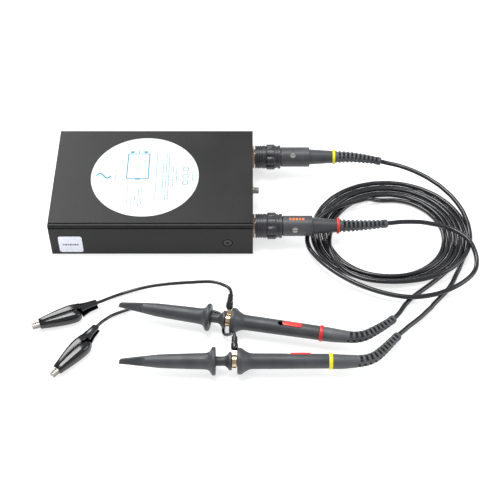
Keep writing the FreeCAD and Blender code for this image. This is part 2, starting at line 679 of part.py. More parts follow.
def collar(mark):
    """Bayonet collar: fluted grip outside, two helical slots for the jack's lugs inside."""
    sleeve = turned(f"{mark}_collar_turning", [
        ("collar_start", "collar_bore"), ("collar_start", "collar_radius"),
        ("collar_front", "collar_radius"), ("collar_front", "collar_grip"),
        ("collar_grip_end", "collar_grip"), ("collar_grip_end", "collar_rear"),
        ("collar_end", "collar_rear"), ("collar_end", "shell_tail + play"),
        ("shell_flange_start + shell_flange_thick + 2 * play", "shell_tail + play"),
        ("shell_flange_start + shell_flange_thick + 2 * play", "collar_pocket"),
        ("jack_reach + collar_step", "collar_pocket"), ("jack_reach + collar_step", "collar_bore")])
    flutes = []
    count = int(size("flute_count"))
    for i in range(count):
        spin = math.tau * i / count
        across = size("flute_place")
        flute = make("Part::Cylinder", f"{mark}_flute_{i}", Radius="flute_radius",
                     Height="collar_grip_end - collar_front")
        flute.Placement = Placement(Vector(size("collar_front"), across * math.cos(spin),
                                           across * math.sin(spin)), ALONG_X)
        flutes.append(flute)
    slots = [bayonet_slot(f"{mark}_slot_{i}", half) for i, half in enumerate((0, 180))]
    return cut(f"{mark}_collar_cut", sleeve, group(f"{mark}_collar_cutters", flutes + slots))


def bayonet_slot(name, half):
    """Helical slot swept from the lug's seat out through the collar's front edge."""
    slot = doc.addObject("Part::Feature", name)
    low, high = size("jack_barrel") - 0.2, size("collar_pocket")
    wide = size("slot_width") / 2
    seat = size("lug_place")
    reach = seat - size("collar_start") + 2 * wide
    steps = 6
    slices = []
    for i in range(steps + 1):
        along = seat + wide - (reach + wide) * i / steps
        spin = 360 * (along - seat) / size("slot_pitch") + half
        corners = [Vector(along, -wide, low), Vector(along, wide, low),
                   Vector(along, wide, high), Vector(along, -wide, high)]
        section = Part.makePolygon(corners + corners[:1])
        section.rotate(Vector(), Vector(1, 0, 0), spin)
        slices.append(section)
    slot.Shape = Part.makeLoft(slices, True, False)
    return slot


# ---------------------------------------------------------------- probe handles

def build_handle(number):
    """Moving pieces of one probe handle; returns the pieces that both probes share."""
    mark = f"probe_{number}"
    frame = handle_frame(number)

    def fixed(thing, label=None):
        thing.Placement = frame
        return node(thing, f"{mark}_{label}") if label else thing

    sleeve = turned(f"{mark}_sleeve_turning", [
        ("sleeve_tip", "hook_bore"), ("sleeve_tip", "sleeve_tip_radius"),
        ("sleeve_mid", "sleeve_mid_radius"), ("sleeve_body", "sleeve_body_radius"),
        ("flange_root", "flange_root_radius"), ("-flange_half", "flange_radius"),
        ("flange_half", "flange_radius"), ("flange_half", "neck_radius + play"),
        ("room_end", "neck_radius + play"), ("room_end", "room_radius"),
        ("room_start", "room_radius"), ("room_start", "hook_bore")])
    mouth = box(f"{mark}_hook_mouth", "sleeve_tip - 1", "-sleeve_tip_radius + edge_break",
                "-hook_bore", "mouth_length", "2 * sleeve_tip_radius - 2 * edge_break",
                "2 * hook_bore")
    fixed(cut(f"{mark}_sleeve_slotted", sleeve, mouth), "hook_sleeve")

    room = size("barrel_front") - size("spring_start")
    coil = spring(f"{mark}_hook_coil", size("spring_radius"), "spring_wire",
                  int(size("spring_turns")), room - 3 * size("spring_wire"))
    coil.Placement = frame.multiply(Placement(
        Vector(size("spring_start") + size("spring_wire"), 0, 0), ALONG_X))
    node(coil, f"{mark}_hook_spring")

    barrel = fixed(turned(f"{mark}_barrel", [
        ("barrel_front", "stem_bore"), ("barrel_front", "neck_radius"),
        ("barrel_stop", "neck_radius"), ("barrel_stop", "barrel_stop_radius"),
        ("clip_seat", "barrel_stop_radius"), ("clip_seat", "clip_seat_radius"),
        ("handle_start - play", "clip_seat_radius"), ("handle_start - play", "socket_radius"),
        ("socket_end", "socket_radius"), ("socket_end", "0"), ("0", "0"),
        ("0", "stem_bore")]))
    stem = fixed(hook(mark))

    handle = turned(f"{mark}_handle_turning", [
        ("handle_start", "socket_radius + play"), ("handle_start", "guard_radius - edge_break"),
        ("handle_start + edge_break", "guard_radius"), ("guard_end", "guard_radius"),
        ("handle_neck", "handle_radius"), ("handle_end", "handle_radius"),
        ("handle_end", "handle_bore"), ("socket_end + play", "handle_bore"),
        ("socket_end + play", "socket_radius + play")])
    toward = radial(SWITCH_ROLLS[number])
    window = make("Part::Box", f"{mark}_window", Length="window_end - window_start",
                  Width="2 * window_half", Height="handle_radius")
    window.Placement = about_axis(toward, size("window_start"), -size("window_half"),
                                  size("slider_low") - 1)
    fixed(cut(f"{mark}_handle_cut", handle, window), "handle")
    slider = make("Part::Box", f"{mark}_slider", Length="slider_length",
                  Width="2 * slider_half", Height="slider_high - slider_low")
    slider.Placement = frame.multiply(about_axis(
        toward, size("window_end") - size("slider_length") - size("play"),
        -size("slider_half"), size("slider_low")))
    node(slider, f"{mark}_range_switch")

    ring = turned(f"{mark}_handle_ring_turning", [
        ("handle_end + play", "handle_spigot + play"), ("handle_end + play", "handle_ring_radius"),
        ("handle_end + handle_ring_thick - play", "handle_ring_radius"),
        ("handle_end + handle_ring_thick - play", "handle_spigot + play")])
    fixed(ring, "handle_marker_ring")

    spigot = turned(f"{mark}_handle_spigot", [
        ("handle_end - handle_spigot_depth", "0"),
        ("handle_end - handle_spigot_depth", "handle_spigot"),
        ("handle_end + handle_ring_thick", "handle_spigot"),
        ("handle_end + handle_ring_thick", "handle_radius"), ("taper_end", "taper_radius"),
        ("taper_end", "0")])
    tail = fixed(boot(f"{mark}_handle_boot", spigot, handle_guide(), "taper_radius",
                      "boot_end_radius", size("handle_end") - size("handle_spigot_depth") - 1))
    return {"probe_barrels": barrel, "hook_stems": stem, "handle_boots": tail}


def about_axis(turn, x, y, z):
    """Placement of a corner (x, y, z), turned with its piece about the handle's axis."""
    return Placement(Vector(), turn).multiply(Placement(Vector(x, y, z), Rotation()))


def hook(mark):
    """Hook wire: straight stem with a small return bend, flat in the local XY plane."""
    reach, bend = size("hook_tip"), size("hook_bend")
    root, tip = Vector(size("stem_start"), 0, 0), Vector(reach, 0, 0)
    edges = [Part.LineSegment(root, tip).toShape(),
             Part.Arc(tip, Vector(reach - bend, bend, 0), Vector(reach, 2 * bend, 0)).toShape()]
    return sweep(f"{mark}_hook", curve(f"{mark}_hook_guide", edges),
                 [("stem_radius", facing(root, Vector(-1, 0, 0)))])


# ---------------------------------------------------------------- cables


def ease(value, start, end):
    """Smooth step from 0 at start to 1 at end."""
    share = min(max((value - start) / (end - start), 0), 1)
    return share * share * (3 - 2 * share)


def lane_pitch(turn):
    """Distance between neighbouring strands at an angle of the coil, clockwise in degrees."""
    rise = math.sin(math.radians(-turn))
    tight = size("pitch_back") if rise > 0 else size("pitch_front")
    return size("pitch_side") - (size("pitch_side") - tight) * rise * rise


def nested(turn):
    """Height that a strand gains by resting in the groove of its lower neighbours."""
    return math.sqrt(max(size("strand_gap") ** 2 - lane_pitch(turn) ** 2, 0))


def coil_point(turn, lane, height):
    """Point of the coil: lanes are counted outwards from the innermost ellipse."""
    angle = math.radians(-turn)
    inner = 1 / math.hypot(math.cos(angle) / size("coil_half_length"),
                           math.sin(angle) / size("coil_half_depth"))
    reach = inner + lane * lane_pitch(turn)
    return Vector(size("coil_x") + reach * math.cos(angle),
                  size("coil_y") + reach * math.sin(angle), height)


def yellow_strand(turn):
    """Cable 1 comes in on top of the coil's outside, crosses inwards and winds outwards."""
    resting = size("coil_lift") + size("cable_radius") + nested(turn)
    top = resting + size("strand_gap")
    slot = turn / 180 - 1
    outside = 5.25
    if turn < 0:
        share = -turn / 80
        return coil_point(turn, outside + 3 * share * share, top + 4 * share)
    lane = outside + (slot - outside) * ease(turn, 105, 195)
    return coil_point(turn, lane, top + (resting - top) * ease(turn, 186, 214))


def red_strand(turn):
    """Cable 2 joins from outside, crosses over cable 1 and winds outwards below it."""
    resting = size("coil_lift") + size("cable_radius")
    top = resting + nested(turn) + size("strand_gap")
    slot = turn / 180 - 2
    outside = 5.6
    inward = 0.45 * ease(turn, 225, 245) * (1 - ease(turn, 265, 300))
    lane = outside + (slot - outside) * ease(turn, 165, 240) - inward
    return coil_point(turn, lane, top + (resting - top) * ease(turn, 243, 268))


# Each cable's way in from the plug, its windings, and its way out to the handle.
CABLE_WAYS = {
    1: ([yellow_strand(turn) for turn in (-78, -55, -35, -16)],
        [yellow_strand(turn) for turn in range(0, 1106, 8)],
        [(179.6, -57.2, 1.55), (174.6, -66.7, 1.55), (166.6, -76.4, 1.55), (156, -88.4, 1.9)]),
    2: ([(156, -23.6, 10.4), (170, -25.4, 9.8), (182, -30.2, 9.2), (189, -37.6, 8.3),
         (192.2, -47.5, 5), (190.4, -56, 4), (185, -63, 4.4), (176.5, -69.4, 4.7),
         (165, -74.4, 4.7), (151.5, -76.4, 4.6), (137, -73.9, 4.6), (123.5, -68.7, 5)],
        [red_strand(turn) for turn in range(150, 1120, 8)],
        [(168.4, -60.3, 1.45), (160.8, -67, 1.5), (153.8, -72.9, 1.5), (147.6, -79.4, 1.9)]),
}


def smooth(points, first, last):
    """Arcs along a smooth curve through points, leaving along first, arriving along last."""
    stations = [0.0]
    for here, there in zip(points, points[1:]):
        stations.append(stations[-1] + (there - here).Length)
    way = Part.BSplineCurve()
    way.interpolate(Points=points, Parameters=stations, InitialTangent=first, FinalTangent=last,
                    Scale=False)
    count = round(way.length() / size("arc_pair"))
    marks = [way.parameterAtDistance(way.length() * i / count) for i in range(count + 1)]
    return arcs([(way.value(mark), way.getDN(mark, 1).normalize()) for mark in marks])


def moved(edges, frame):
    """The same edges, carried into a frame."""
    return [edge.transformed(frame.toMatrix()) for edge in edges]


def build_cable(number):
    """Cable from inside the plug's housing, round the coil and into the handle."""
    plug, handle = plug_frame(number), handle_frame(number)
    plug_edges, plug_end, plug_way = plug_guide(number)
    handle_edges, handle_end, handle_way = handle_guide()
    ahead = Vector(1, 0, 0)
    inside = ahead * (size("housing_end") - 1.5 * size("spigot_length"))
    buried = ahead * (size("handle_end") - size("handle_spigot_depth") + 1)
    lead = moved([Part.LineSegment(inside, plug_edges[0].Vertexes[0].Point).toShape()]
                 + plug_edges, plug)
    tail = moved([Part.LineSegment(buried, handle_edges[0].Vertexes[0].Point).toShape()]
                 + handle_edges, handle)
    points = [plug.multVec(plug_end)]
    for stretch in CABLE_WAYS[number]:
        points += [Vector(*point) for point in stretch]
    points.append(handle.multVec(handle_end))
    free = smooth(points, plug.Rotation.multVec(plug_way),
                  handle.Rotation.multVec(handle_way) * -1)
    guide = curve(f"cable_{number}_guide", lead + free + tail[::-1])
    start = facing(plug.multVec(inside), plug.Rotation.multVec(ahead))
    node(sweep(f"cable_{number}_sweep", guide, [("cable_radius", start)]),
         f"probe_{number}_cable")


# ---------------------------------------------------------------- ground leads and clips

# Points that each ground lead passes between its boot and its crocodile clip.
LEAD_WAYS = {
    1: [(47.6, -104.6, 7.4), (43.2, -100.4, 2), (43.4, -94.6, 1.05), (43.4, -88.6, 1.05),
        (39.8, -85, 1.05), (28.3, -83, 1.05), (10, -80.4, 1.05), (-4, -80, 1.05),
        (-12.4, -82.8, 1.05), (-19.4, -86.2, 1.15)],
    2: [(44.6, -81.8, 21.4), (39.6, -78.6, 20.8), (28.6, -74, 15.6), (14.2, -69.6, 8.6),
        (-1.9, -67.8, 3), (-17.2, -71.6, 1.1)],
}


def build_ground_clip(number):
    """Ground spring clip on the probe's barrel, its moulded boot and the wire to the clip."""
    mark = f"probe_{number}"
    outward = Placement(Vector(), radial(GROUND_ROLLS[number]))
    frame = handle_frame(number).multiply(outward)
    start, width = "clip_ring_start", "clip_ring_width"
    ring = rod(f"{mark}_clip_ring", "clip_ring_radius", width, start, turn=ALONG_X)
    tab = box(f"{mark}_clip_tab", start, "-clip_tab_thick / 2", "clip_seat_radius", width,
              "clip_tab_thick", "clip_tab_reach - clip_seat_radius")
    bore = rod(f"{mark}_clip_bore", "clip_ring_bore", width, start, turn=ALONG_X)
    split = box(f"{mark}_clip_split", start, "-clip_ring_split / 2", "-2 * clip_ring_radius",
                width, "clip_ring_split", "2 * clip_ring_radius")
    clip = cut(f"{mark}_clip_cut", fuse(f"{mark}_clip_solid", [ring, tab]),
               group(f"{mark}_clip_cutters", [bore, split]))
    clip.Placement = frame
    node(clip, f"{mark}_ground_clip")

    middle = size(start) + size(width) / 2
    moulding = turned(f"{mark}_lead_moulding", [
        ("lead_boot_start", "0"), ("lead_boot_start", "lead_boot_radius"),
        ("lead_boot_shoulder", "lead_boot_radius"), ("lead_boot_end", "lead_boot_tip"),
        ("lead_boot_end", "0")])
    pocket = box(f"{mark}_lead_pocket", "lead_boot_start - 1", "-clip_tab_thick / 2 - play",
                 f"-{width} / 2 - play", "clip_tab_reach + play - lead_boot_start + 1",
                 "clip_tab_thick + 2 * play", f"{width} + 2 * play")
    boot_piece = cut(f"{mark}_lead_boot_cut", moulding, pocket)
    upright = Placement(Vector(middle, 0, 0), Rotation(Vector(0, 1, 0), -90))
    boot_piece.Placement = frame.multiply(upright)
    node(boot_piece, f"{mark}_ground_lead_boot")

    root = frame.multVec(Vector(middle, 0, size("lead_boot_end") + size("play")))
    clip_place = clip_frame(number)
    tail = clip_place.multVec(Vector(-size("jaw_tail"), -lead_side(), clip_middle()))
    anchor = clip_place.multVec(Vector(-size("jaw_tail") / 2, -lead_side(), clip_middle()))
    points = [root] + [Vector(*point) for point in LEAD_WAYS[number]] + [tail, anchor]
    out = frame.Rotation.multVec(Vector(0, 0, 1))
    along = clip_place.Rotation.multVec(Vector(1, 0, 0))
    guide = curve(f"{mark}_lead_guide", smooth(points, out, along))
    node(sweep(f"{mark}_lead", guide, [("lead_radius", facing(root, out))]),
         f"{mark}_ground_wire")


def clip_frame(number):
    """Placement of a crocodile clip: pivot at the origin, nose along X, lying on its side."""
    x, y = CLIP_PLACES[number]
    return Placement(Vector(x, y, 0), Rotation(Vector(0, 0, 1), CLIP_TURNS[number]))


def clip_middle():
    """Height of the clip's middle above the table."""
    return size("jaw_low") + size("jaw_depth") / 2


def lead_side():
    """Distance of the ground wire from the clip's centre line, inside the fixed jaw."""
    return size("jaw_hip") - size("jaw_wall") - 1.3 * size("lead_radius")


def jaw(name, hand, level):
    """Half of the clip: a folded wall with two ears on the pivot, at its own levels."""
    plate = pad(f"{name}_wall", "XY_Plane", [
        ("-jaw_tail", f"{hand}(jaw_tail_half - jaw_wall)"),
        ("jaw_hip_place", f"{hand}(jaw_hip - jaw_wall)"),
        ("jaw_shoulder_place", f"{hand}(jaw_shoulder_half - 1.25 * jaw_wall)"),
        ("jaw_tip", f"{hand}jaw_gap"), ("jaw_nose", f"{hand}jaw_gap"),
        ("jaw_nose", f"{hand}jaw_tip_half"), ("jaw_shoulder_place", f"{hand}jaw_shoulder_half"),
        ("jaw_hip_place", f"{hand}jaw_hip"), ("-jaw_tail", f"{hand}jaw_tail_half")], "jaw_depth")
    low_edge = "-ear_reach" if hand else "-ear_half"
    pieces = [place(plate, z="jaw_low")]
    bores = []
    for i, height in enumerate((f"jaw_low + {level}",
                                f"jaw_low + jaw_depth - {level} - ear_thick")):
        pieces.append(box(f"{name}_ear_{i}", "-ear_half", low_edge, height, "2 * ear_half",
                          "ear_half + ear_reach", "ear_thick"))
        bores.append(rod(f"{name}_ear_bore_{i}", "pivot_radius + pivot_play",
                         "3 * ear_thick", z=f"{height} - ear_thick"))
    return cut(f"{name}_bored", fuse(f"{name}_solid", pieces), group(f"{name}_bores", bores))


def clip_cover(name, hand):
    """Rubber half-cover: an outer wall with two lips that wrap its jaw."""
    other = "" if hand else "-"
    shell = pad(f"{name}_outer", "XY_Plane", [
        ("cover_reach", f"{hand}cover_lip"), ("0", f"{hand}cover_lip"),
        ("-cover_tail", f"{hand}cover_tail_lip"), ("-cover_tail", f"{hand}cover_tail_half"),
        ("0", f"{hand}cover_hip"), ("cover_bend", f"{hand}cover_bend_half"),
        ("cover_reach", f"{hand}cover_nose_half")], "cover_depth")
    inside = pad(f"{name}_inner", "XY_Plane", [
        ("cover_reach + 2", f"{other}cover_hip"), ("cover_reach + 2", f"{hand}cover_nose_bore"),
        ("jaw_shoulder_place", f"{hand}(jaw_shoulder_half + cover_play)"),
        ("jaw_hip_place", f"{hand}(jaw_hip + cover_play)"),
        ("-cover_tail - 1", f"{hand}(jaw_tail_half + cover_play)"),
        ("-cover_tail - 1", f"{other}cover_hip")], "jaw_depth + 4 * play")
    place(inside, z="jaw_low - 2 * play")
    return cut(f"{name}_hollow", shell, inside)


def build_clip(number):
    """Moving half of one crocodile clip; returns the pieces that both clips share."""
    mark = f"probe_{number}"
    frame = clip_frame(number)

    def set_down(thing):
        thing.Placement = frame
        return thing

    node(set_down(jaw(f"{mark}_moving_jaw", "", "ear_step")), f"{mark}_clip_moving_jaw")
    node(set_down(clip_cover(f"{mark}_moving_cover", "")), f"{mark}_clip_moving_cover")
    room = size("jaw_depth") - 2 * size("ear_step") - 4 * size("ear_thick")
    coil = spring(f"{mark}_clip_coil", size("clip_coil_radius"), "clip_coil_wire",
                  int(size("clip_coil_turns")), room)
    coil.Placement = frame.multiply(Placement(
        Vector(0, 0, size("jaw_low") + size("ear_step") + 2 * size("ear_thick")), Rotation()))
    pin = make("Part::Cylinder", f"{mark}_clip_pin", Radius="pivot_radius",
               Height="jaw_depth + play")
    pin.Placement = frame.multiply(Placement(
        Vector(0, 0, size("jaw_low") - size("play") / 2), Rotation()))
    return {"clip_fixed_jaws": set_down(jaw(f"{mark}_fixed_jaw", "-", "0")),
            "clip_fixed_covers": set_down(clip_cover(f"{mark}_fixed_cover", "-")),
            "clip_springs": coil, "clip_pins": pin}


# ---------------------------------------------------------------- write the files

def write_parts():
    """Check every object and write each sub-part's solids to its own STEP file."""
    doc.recompute()
    for thing in doc.Objects:
        if "Invalid" in thing.State or "Error" in thing.State:
            raise RuntimeError(f"{thing.Name} failed: {thing.State}")
    os.makedirs("parts", exist_ok=True)
    for thing in nodes:
        shape = thing.Shape
        if shape.isNull() or not shape.isValid() or not shape.Solids:
            raise RuntimeError(f"{thing.Label} has no valid solid")
        shape.exportStep(os.path.join("parts", f"{thing.Label}.step"))
    print(f"{len(nodes)} sub-parts written")


build_case()
build_board()
build_jacks()
build_terminal_and_usb()
shared = []
for channel in (1, 2):
    build_plug(channel)
    build_cable(channel)
    build_ground_clip(channel)
    shared.append({**build_handle(channel), **build_clip(channel)})
for label in shared[0]:
    node(group(f"{label}_pair", [kit[label] for kit in shared]), label)
write_parts()
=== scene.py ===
import heapq
import json
import math
import random

import bmesh
import bpy
import numpy as np
from mathutils import Matrix, Vector
from mathutils.kdtree import KDTree


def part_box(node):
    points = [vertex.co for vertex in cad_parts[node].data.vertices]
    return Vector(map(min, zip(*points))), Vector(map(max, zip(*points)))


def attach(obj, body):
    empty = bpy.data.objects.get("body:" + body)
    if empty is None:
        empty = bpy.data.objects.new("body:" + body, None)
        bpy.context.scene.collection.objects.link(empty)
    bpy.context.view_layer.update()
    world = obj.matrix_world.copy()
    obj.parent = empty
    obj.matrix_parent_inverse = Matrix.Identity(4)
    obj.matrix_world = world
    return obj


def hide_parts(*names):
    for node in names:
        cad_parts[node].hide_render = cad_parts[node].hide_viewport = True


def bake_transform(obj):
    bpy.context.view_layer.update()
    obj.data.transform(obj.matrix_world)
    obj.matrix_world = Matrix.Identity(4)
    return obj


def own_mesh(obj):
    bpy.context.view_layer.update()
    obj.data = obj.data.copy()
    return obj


# Looks of the two-channel oscilloscope box with its two probes. Pieces are drawn in
# millimetres in the local frame of the joint that they belong to, then carried into the
# row frame. Local frames: X runs from the hook to the cable on a handle, from the jack to
# the cable on a plug, and to the nose on a crocodile clip.

MM = 0.001
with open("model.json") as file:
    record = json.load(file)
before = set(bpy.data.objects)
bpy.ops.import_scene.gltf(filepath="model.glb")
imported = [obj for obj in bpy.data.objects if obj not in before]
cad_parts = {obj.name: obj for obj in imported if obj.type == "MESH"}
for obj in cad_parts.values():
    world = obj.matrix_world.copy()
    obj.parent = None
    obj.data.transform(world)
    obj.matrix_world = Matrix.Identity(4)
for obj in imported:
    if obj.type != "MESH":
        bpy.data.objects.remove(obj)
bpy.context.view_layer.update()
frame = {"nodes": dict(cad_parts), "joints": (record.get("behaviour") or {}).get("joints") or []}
CHANNELS = (1, 2)

CABLE_RADIUS = 1.4
WIRE_RADIUS = 0.95
VIEW_ROLL = 50                      # degrees above the front, where the handles are seen from
JAW_TIP = Vector((21, 1.25, 0))     # tip of the moving jaw from the clip's pivot


# ---------------------------------------------------------------- frames

def joint(name):
    """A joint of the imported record."""
    return next(item for item in frame["joints"] if item["name"] == name)


def axes(origin, heading):
    """Frame with X along a level heading and Z up."""
    ahead = Vector(heading).normalized()
    side = Vector((0, 0, 1)).cross(ahead).normalized()
    turned = Matrix((ahead, side, ahead.cross(side))).transposed().to_4x4()
    turned.translation = origin
    return turned


def plug_frame(number):
    """Frame on a jack's axis, at the panel's outer face."""
    return Matrix.Translation(joint(f"collar_turn_{number}")["pos_m"])


def handle_frame(number):
    """Frame on a handle's axis, at its finger flange."""
    swivel = joint(f"ground_swivel_{number}")
    return axes(swivel["pos_m"], swivel["axis"])


def clip_frame(number):
    """Frame on a crocodile clip's pivot, found from the tip of its jaw."""
    pivot = Vector(joint(f"jaw_open_{number}")["pos_m"])
    jaw = frame["nodes"][f"probe_{number}_clip_moving_jaw"].data
    tip = max((vertex.co for vertex in jaw.vertices),
              key=lambda point: (point - pivot).xy.length) - pivot
    heading = math.atan2(tip.y, tip.x) - math.atan2(JAW_TIP.y, JAW_TIP.x)
    return axes(pivot, (math.cos(heading), math.sin(heading), 0))


def probe_box(node, place):
    """Lowest and highest corner in mm of a node of probe 1, from the origin of its frame."""
    return [(corner - place.translation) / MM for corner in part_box(f"probe_1_{node}")]


def round_x(roll, x=0, reach=1):
    """Point at a roll round the X axis: 0 is the front, 90 the top."""
    angle = math.radians(roll)
    return Vector((x, -reach * math.cos(angle), reach * math.sin(angle)))


# ---------------------------------------------------------------- mesh helpers

def piece(name, shape, body, slot, place=Matrix(), stands_for=(), sharp=35, finish=None):
    """Piece from (points in mm, faces), carried into the row frame and put on a body.

    Its look is that of its slot, unless another finish is named."""
    points, faces = shape
    mesh = bpy.data.meshes.new(name)
    mesh.from_pydata([place @ (Vector(point) * MM) for point in points], [], faces)
    drawn = bmesh.new()
    drawn.from_mesh(mesh)
    bmesh.ops.recalc_face_normals(drawn, faces=drawn.faces)
    drawn.to_mesh(mesh)
    drawn.free()
    mesh.shade_smooth()
    mesh.set_sharp_from_angle(angle=math.radians(sharp))
    mesh.materials.append(look(finish or slot))
    thing = bpy.data.objects.new(name, mesh)
    bpy.context.scene.collection.objects.link(thing)
    if body:
        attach(thing, body)
    if stands_for:
        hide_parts(*stands_for)
    return thing


def loft(rings, closed=False):
    """Skin over rings of equal count, capped at both ends or closed into a loop."""
    count = len(rings[0])
    points = [point for ring in rings for point in ring]
    faces = []
    for i in range(len(rings) if closed else len(rings) - 1):
        here, there = i * count, (i + 1) % len(rings) * count
        for k in range(count):
            after = (k + 1) % count
            faces.append((here + k, here + after, there + after, there + k))
    if not closed:
        faces += [tuple(range(count)), tuple(range(len(points) - count, len(points)))]
    return points, faces


def lathe(outline, sides=48):
    """Closed outline of (along, radius) turned about the X axis."""
    turns = [math.tau * k / sides for k in range(sides)]
    rings = [[(x, radius * math.cos(turn), radius * math.sin(turn)) for turn in turns]
             for x, radius in outline]
    return loft(rings, closed=True)


def soften(corners, steps=4):
    """Closed outline with rounded corners: each corner is (x, y, reach of its rounding)."""
    outline = []
    for i, (x, y, reach) in enumerate(corners):
        here = Vector((x, y))
        back = Vector(corners[i - 1][:2]) - here
        on = Vector(corners[(i + 1) % len(corners)][:2]) - here
        start = here + back.normalized() * min(reach, 0.49 * back.length)
        end = here + on.normalized() * min(reach, 0.49 * on.length)
        for k in range(steps + 1 if reach else 1):
            share = k / steps
            outline.append(start * (1 - share) ** 2 + here * (2 * share * (1 - share))
                           + end * share ** 2)
    return outline


def prism(outline, low, high):
    """Solid between two heights over a flat outline."""
    return loft([[(x, y, z) for x, y in outline] for z in (low, high)])


def join(shapes):
    """Several shapes kept in one."""
    points, faces = [], []
    for some_points, some_faces in shapes:
        faces += [tuple(len(points) + index for index in face) for face in some_faces]
        points += some_points
    return points, faces


def carried(path, side):
    """Point, side and up direction at each point of a path, without twisting."""
    result = []
    for i, point in enumerate(path):
        ahead = (path[min(i + 1, len(path) - 1)] - path[max(i - 1, 0)]).normalized()
        side = (side - ahead * side.dot(ahead)).normalized()
        result.append((point, side, ahead.cross(side)))
    return result


def tube(path, radius, sides=20):
    """Round tube along a path."""
    rings = []
    for point, side, up in carried(path, Vector((0, 0.1, 1))):
        rings.append([point + (side * math.cos(math.tau * k / sides)
                               + up * math.sin(math.tau * k / sides)) * radius
                      for k in range(sides)])
    return loft(rings)


# ---------------------------------------------------------------- cable centre lines

def centre_line(node, radius, start):
    """Centre line in mm of a round CAD cable, from its end nearest to start.

    A vertex's normal points at the centre line, and edges lead from one centre to the next."""
    mesh = frame["nodes"][node].data
    spots = np.empty(len(mesh.vertices) * 3)
    mesh.vertices.foreach_get("co", spots)
    spots = spots.reshape(-1, 3) / MM
    owners = np.empty(len(mesh.loops), int)
    mesh.loops.foreach_get("vertex_index", owners)
    corner = np.empty(len(mesh.loops) * 3)
    mesh.corner_normals.foreach_get("vector", corner)
    outward = np.zeros_like(spots)
    outward[owners] = corner.reshape(-1, 3)
    centres, centre_of = np.unique(np.round(spots - outward * radius, 2), axis=0,
                                   return_inverse=True)
    centre_of = merged(centres)[centre_of.ravel()]
    edges = np.empty(len(mesh.edges) * 2, int)
    mesh.edges.foreach_get("vertices", edges)
    near = {}
    for one, other in np.unique(centre_of[edges.reshape(-1, 2)], axis=0):
        near.setdefault(one, set()).add(other)
        near.setdefault(other, set()).add(one)
    first = min(near, key=lambda index: np.linalg.norm(centres[index] - np.array(start) / MM))
    return spaced(centres, distances(centres, near, first))


def distances(centres, near, first):
    """Distance from the first centre to each centre that it is linked to."""
    reached = {}
    queue = [(0.0, first)]
    while queue:
        distance, at = heapq.heappop(queue)
        if at in reached:
            continue
        reached[at] = distance
        for other in near[at]:
            if other not in reached:
                step = np.linalg.norm(centres[other] - centres[at])
                heapq.heappush(queue, (distance + step, other))
    return reached


def spaced(centres, reached, gap=2.0):
    """The reached centres in order, at least a gap apart, with the last one kept."""
    order = sorted(reached, key=reached.get)
    kept = [order[0]]
    for index in order:
        if reached[index] - reached[kept[-1]] >= gap:
            kept.append(index)
    if reached[order[-1]] - reached[kept[-1]] < gap / 2:
        kept.pop()
    kept.append(order[-1])
    return centres[kept]


def merged(centres, reach=0.05):
    """For each centre, the first centre that lies within reach of it."""
    tree = KDTree(len(centres))
    for i, centre in enumerate(centres):
        tree.insert(centre, i)
    tree.balance()
    return np.array([min(found[1] for found in tree.find_range(centre, reach))
                     for centre in centres])


def stations(line):
    """Distance of each point of a line from its start."""
    steps = np.linalg.norm(np.diff(line, axis=0), axis=1)
    return np.concatenate(([0], np.cumsum(steps)))


def along(line, places):
    """Points at distances along a smooth curve through a line's points."""
    marks = stations(line)
    slopes = np.gradient(line, marks, axis=0)
    i = np.clip(np.searchsorted(marks, places, side="right") - 1, 0, len(marks) - 2)
    span = (marks[i + 1] - marks[i])[:, None]
    share = (np.asarray(places)[:, None] - marks[i][:, None]) / span
    rest = 1 - share
    smooth = (line[i] * (1 + 2 * share) * rest ** 2 + line[i + 1] * (3 - 2 * share) * share ** 2
              + slopes[i] * span * share * rest ** 2 - slopes[i + 1] * span * rest * share ** 2)
    return [Vector(point) for point in smooth]


def part_of(line, first, last, step=1.2):
    """Evenly spaced points of a line between two distances."""
    count = max(2, round((last - first) / step))
    return along(line, np.linspace(first, last, count + 1))


# ---------------------------------------------------------------- materials

looks = {}


def look(slot):
    """The material of a slot, made when it is first asked for."""
    if slot not in looks:
        looks[slot] = MAKERS[slot](slot)
    return looks[slot]


def start_material(name):
    """New material with its node tree, shader and object coordinates."""
    material = bpy.data.materials.new(name)
    material.use_nodes = True
    tree = material.node_tree
    shader = tree.nodes["Principled BSDF"]
    place = tree.nodes.new("ShaderNodeTexCoord").outputs["Object"]
    return material, tree, shader, place


def noise(tree, place, scale, detail=3.0, stretch=None):
    """Noise value at a scale in features per metre, stretched if wanted."""
    if stretch:
        mapping = tree.nodes.new("ShaderNodeMapping")
        mapping.inputs["Scale"].default_value = stretch
        tree.links.new(place, mapping.inputs["Vector"])
        place = mapping.outputs["Vector"]
    texture = tree.nodes.new("ShaderNodeTexNoise")
    texture.inputs["Scale"].default_value = scale
    texture.inputs["Detail"].default_value = detail
    tree.links.new(place, texture.inputs["Vector"])
    return texture.outputs["Fac"]


def spread(tree, value, low, high):
    """Noise value, which keeps near its middle, widened to the range low to high."""
    widen = tree.nodes.new("ShaderNodeMapRange")
    widen.inputs["From Min"].default_value = 0.3
    widen.inputs["From Max"].default_value = 0.7
    widen.inputs["To Min"].default_value = low
    widen.inputs["To Max"].default_value = high
    tree.links.new(value, widen.inputs["Value"])
    return widen.outputs["Result"]


def blend_colours(tree, share, dark, light):
    """Colour between two colours, by a share."""
    mix = tree.nodes.new("ShaderNodeMix")
    mix.data_type = "RGBA"
    mix.inputs["A"].default_value = (*dark, 1)
    mix.inputs["B"].default_value = (*light, 1)
    tree.links.new(share, mix.inputs["Factor"])
    return mix.outputs["Result"]


